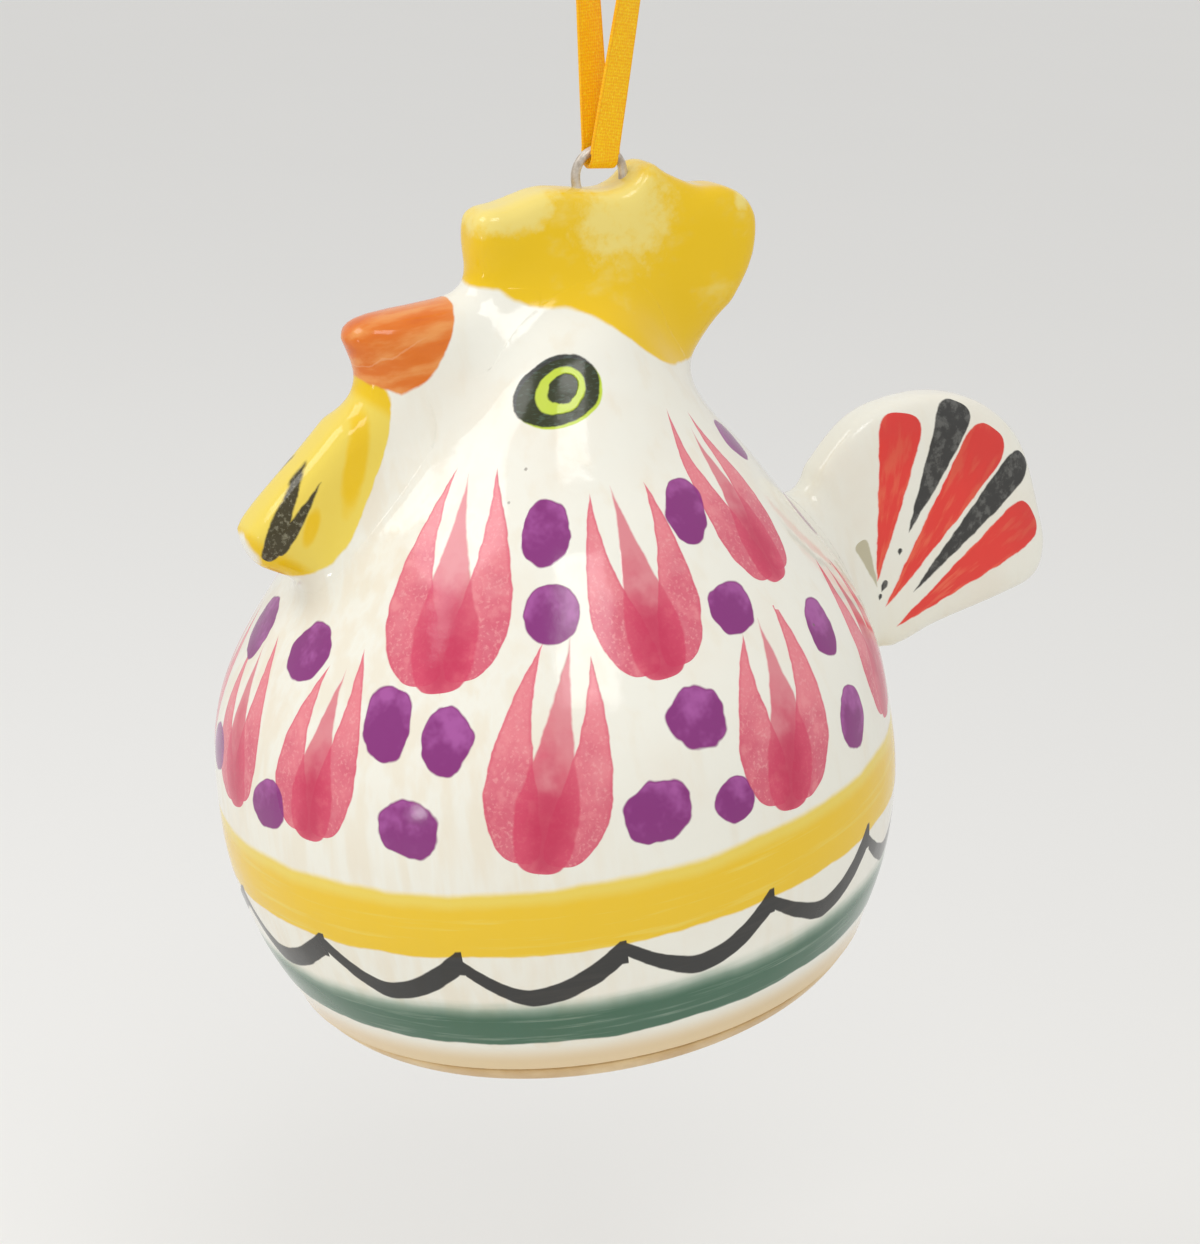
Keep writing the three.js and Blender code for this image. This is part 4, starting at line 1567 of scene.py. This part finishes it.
class ROOSTER_OT_ribbon(bpy.types.Operator):
    """Sweep the ribbon: its two legs, the bight under the wire, the knot and the cut ends"""

    bl_idname = "rooster.ribbon"
    bl_label = "Ribbon"

    def execute(self, context):
        ribbon = settings("ribbon")
        finish = satin_finish()
        sizes = (ribbon.width, ribbon.thick, ribbon.thick * RIBBON_ROUND)

        def strip(name, route, slim=1.0):
            path, across = route
            made = swept(name, path, across, np.ones(len(path)), [slim * s for s in sizes], finish)
            return made

        route = bight_route(ribbon)
        bight = strip("satin_bight", route, BIGHT_SLIM)
        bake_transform(bight)
        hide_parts("ribbon_bight")
        knot = strip("satin_knot", knot_route(ribbon), KNOT_SLIM)
        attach(knot, "hanger")
        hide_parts("ribbon_knot")
        for word, side, others in (("right", 0, [bight, knot]), ("left", math.pi, [])):
            end = strip("satin_end_" + word, end_route(side, ribbon))
            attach(end, "hanger")
            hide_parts("ribbon_end_" + word)
            route = leg_route(side, ribbon)
            leg = strip("satin_" + word, route)
            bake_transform(leg)
            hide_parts("ribbon_top_" + word, "ribbon_leg_" + word)
        return {"FINISHED"}


class ROOSTER_OT_wire(bpy.types.Operator):
    """Bend the wire loop and set its feet in the comb"""

    bl_idname = "rooster.wire"
    bl_label = "Wire loop"

    def execute(self, context):
        ribbon = settings("ribbon")
        plate = PLATES["comb"]
        long, tall, _ = plate["size"]
        dip = plate["rim"][COMB_DIP]
        radius = ribbon.loop / MM
        middle = lean_at(CROWN_Z) + dip[0] * long
        level = CROWN_Z + dip[1] * tall
        turn = np.linspace(0, np.pi, 33)
        bow = np.c_[middle - radius * np.cos(turn), level + WIRE_RISE + radius * np.sin(turn)]
        drop = np.linspace(0, 1, 13)[1:, None] * [0, WIRE_RISE + WIRE_DEPTH]
        line = np.vstack([(bow[0] - drop)[::-1], bow, bow[-1] - drop])
        girth = 1 + COLLAR_SWELL * np.clip((level + COLLAR_TOP - line[:, 1]) / COLLAR_RUN, 0, 1) ** 2
        hung = np.array(HANG)
        path = np.c_[0 * line[:, 0], line] @ hung[:3, :3].T + hung[:3, 3]
        across = np.tile([1.0, 0, 0], (len(path), 1))
        sizes = (ribbon.wire, ribbon.wire, ribbon.wire * WIRE_ROUND)
        loop = swept("steel_loop", path, across, girth, sizes, wire_finish())
        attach(loop, "bird")
        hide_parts("wire_hanger")
        return {"FINISHED"}


# The slab's section: its rounded outer edge, then its top, then the edges of the vent and its underside.
VENT_R = 3.5
BASE_RUNS = [
    [(23.6, 0.0), (24.6, 0.06), (25.4, 0.34), (27.3, 1.2), (28.45, 2.3), (28.86, 3.0), (28.5, BASE_TOP)],
    [(27.0, BASE_TOP), (16.0, BASE_TOP), (5.0, BASE_TOP)],
    [(4.1, BASE_TOP), (3.62, 3.05), (VENT_R, 2.7), (VENT_R, 0.6), (3.62, 0.16), (4.1, 0.0)],
    [(5.5, 0.0), (14.0, 0.0), (22.0, 0.0)],
]
BASE_COLUMNS = 144


class ROOSTER_OT_base(bpy.types.Operator):
    """Turn the slab that closes the body below"""

    bl_idname = "rooster.base"
    bl_label = "Base"

    def execute(self, context):
        line = np.vstack([spline(run, 6) for run in BASE_RUNS])
        around = np.linspace(0, 2 * np.pi, BASE_COLUMNS, endpoint=False)
        points = [(r * math.sin(a), -r * math.cos(a), z) for r, z in line for a in around]
        around_section = wrap(len(line) + 1, BASE_COLUMNS, 0)
        faces = [[corner % len(points) for corner in face] for face in around_section]
        base = outward(mesh_object("glazed_base", points, faces))
        skin(base, base_finish())
        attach(base, "bird")
        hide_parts("base_disc")
        return {"FINISHED"}


# The stage: half the floor's side, how high up the sky has its full strength, and the lamps: angle round
# from the beak, height, distance and size.
FLOOR_HALF = 40
SKY_TOP = 0.9
LAMPS = [
    ("key", -12, 47, 0.6, (0.36, 0.25)),
    ("fill", 72, 48, 0.6, (0.2, 0.2)),
    ("window", 22, -9, 0.4, (0.03, 0.045)),
]
# The camera in the bird's own frame: place, aim and roll, and the pixel of the picture that the aim is on.
CAMERA_AT = Vector((241.4, -97.5, 138.9))
CAMERA_AIM = Vector((0, 0, 35.81))
CAMERA_ROLL = math.radians(7.93)
AIM_PIXEL = (538.2, 629.9)
IMAGE = (1200, 1244)


def lay_floor(stage):
    """A pale matt floor, barely uneven."""
    material, board = new_finish("floor")
    cloud = board.noise(board.wire("ShaderNodeTexCoord", out="Object"), 6.0, 3.0)
    tint = board.mix(cloud * 0.06, stage.floor, SHADES["floor stain"])
    low = cad_box[0][2] - stage.floor_drop
    corners = [(x * FLOOR_HALF, y * FLOOR_HALF, low) for x, y in ((-1, -1), (1, -1), (1, 1), (-1, 1))]
    mesh = bpy.data.meshes.new("floor")
    mesh.from_pydata(corners, [], [(0, 1, 2, 3)])
    mesh.materials.append(coated(material, board, {"Base Color": tint, "Roughness": 0.85}))
    added("floor", mesh)


def camera_matrix(view):
    """The camera's place, turned so that its aim falls on its pixel of the picture."""
    at, aim = HANG @ CAMERA_AT, HANG @ CAMERA_AIM
    focal = view.lens / view.sensor_width * max(IMAGE)
    forward = (aim - at).normalized()
    right = forward.cross(HANG.to_3x3() @ Vector((0, 0, 1))).normalized()
    up = right.cross(forward)
    right, up = (
        right * math.cos(CAMERA_ROLL) - up * math.sin(CAMERA_ROLL),
        up * math.cos(CAMERA_ROLL) + right * math.sin(CAMERA_ROLL),
    )
    across, down = ((pixel - side / 2) / focal for pixel, side in zip(AIM_PIXEL, IMAGE))
    forward = (forward - across * right + down * up).normalized()
    right = (right - right.dot(forward) * forward).normalized()
    up = right.cross(forward)
    turn = Matrix((right, up, -forward)).transposed().to_4x4()
    return Matrix.Translation(at) @ turn


def place_camera(stage):
    """A camera where the picture was taken from."""
    view = bpy.data.cameras.new("view")
    view.lens = stage.lens
    camera = added("view", view)
    camera.matrix_world = camera_matrix(view)
    bpy.context.scene.camera = camera


def light_sky(stage):
    """Even light all round, a little stronger overhead."""
    world = bpy.data.worlds.new("sky")
    world.use_nodes = True
    board = Board(world.node_tree)
    rise = board.parts(board.wire("ShaderNodeTexCoord", out="Generated"))[2]
    strength = board.step(rise, 0.0, SKY_TOP) * (stage.sky - stage.horizon) + stage.horizon
    background = world.node_tree.nodes["Background"]
    board.feed(background.inputs["Color"], (1, 1, 1))
    board.feed(background.inputs["Strength"], strength)
    bpy.context.scene.world = world


def hang_lamps(stage):
    """Soft lamps that face the middle of the object."""
    middle = (Vector(cad_box[0]) + Vector(cad_box[1])) / 2
    for name, around, height, away, size in LAMPS:
        spin, tip = math.radians(around), -math.radians(height)
        way = Matrix.Rotation(spin, 3, "Z") @ Matrix.Rotation(tip, 3, "X") @ Vector((0, -1, 0))
        lamp = bpy.data.lights.new(name, "AREA")
        lamp.shape = "RECTANGLE"
        lamp.size, lamp.size_y = size
        lamp.energy = getattr(stage, name)
        light = added(name, lamp)
        light.location = middle + away * way
        light.rotation_euler = way.to_track_quat("Z", "Y").to_euler()


class ROOSTER_OT_stage(bpy.types.Operator):
    """Set the floor, the camera and the lights"""

    bl_idname = "rooster.stage"
    bl_label = "Stage"

    def execute(self, context):
        stage = settings("stage")
        lay_floor(stage)
        place_camera(stage)
        light_sky(stage)
        hang_lamps(stage)
        context.scene.view_settings.view_transform = "Standard"
        return {"FINISHED"}


class ROOSTER_PT_panel(bpy.types.Panel):
    """Lists the pieces and their settings"""

    bl_label = "Rooster"
    bl_idname = "ROOSTER_PT_panel"
    bl_space_type = "VIEW_3D"
    bl_region_type = "UI"
    bl_category = "Rooster"

    def draw(self, context):
        for group in GROUPS:
            box = self.layout.box()
            for key in GROUPS[group].__annotations__:
                box.prop(settings(group), key)
        for step in STEPS:
            self.layout.operator(step.bl_idname)


GROUPS = {"clay": RoosterClay, "paint": RoosterPaint, "ribbon": RoosterRibbon, "stage": RoosterStage}
STEPS = [
    ROOSTER_OT_stage, ROOSTER_OT_ribbon, ROOSTER_OT_wire, ROOSTER_OT_clay,
    ROOSTER_OT_luted, ROOSTER_OT_body, ROOSTER_OT_base,
]


def register():
    for group in (*GROUPS.values(), *STEPS, ROOSTER_PT_panel):
        bpy.utils.register_class(group)
    for name, group in GROUPS.items():
        setattr(bpy.types.Scene, "rooster_" + name, PointerProperty(type=group))


def unregister():
    for name in GROUPS:
        delattr(bpy.types.Scene, "rooster_" + name)
    for group in (ROOSTER_PT_panel, *reversed(STEPS), *reversed(list(GROUPS.values()))):
        bpy.utils.unregister_class(group)


def main():
    register()
    for step in STEPS:
        family, name = step.bl_idname.split(".")
        getattr(getattr(bpy.ops, family), name)()


if __name__ == "__main__":
    main()
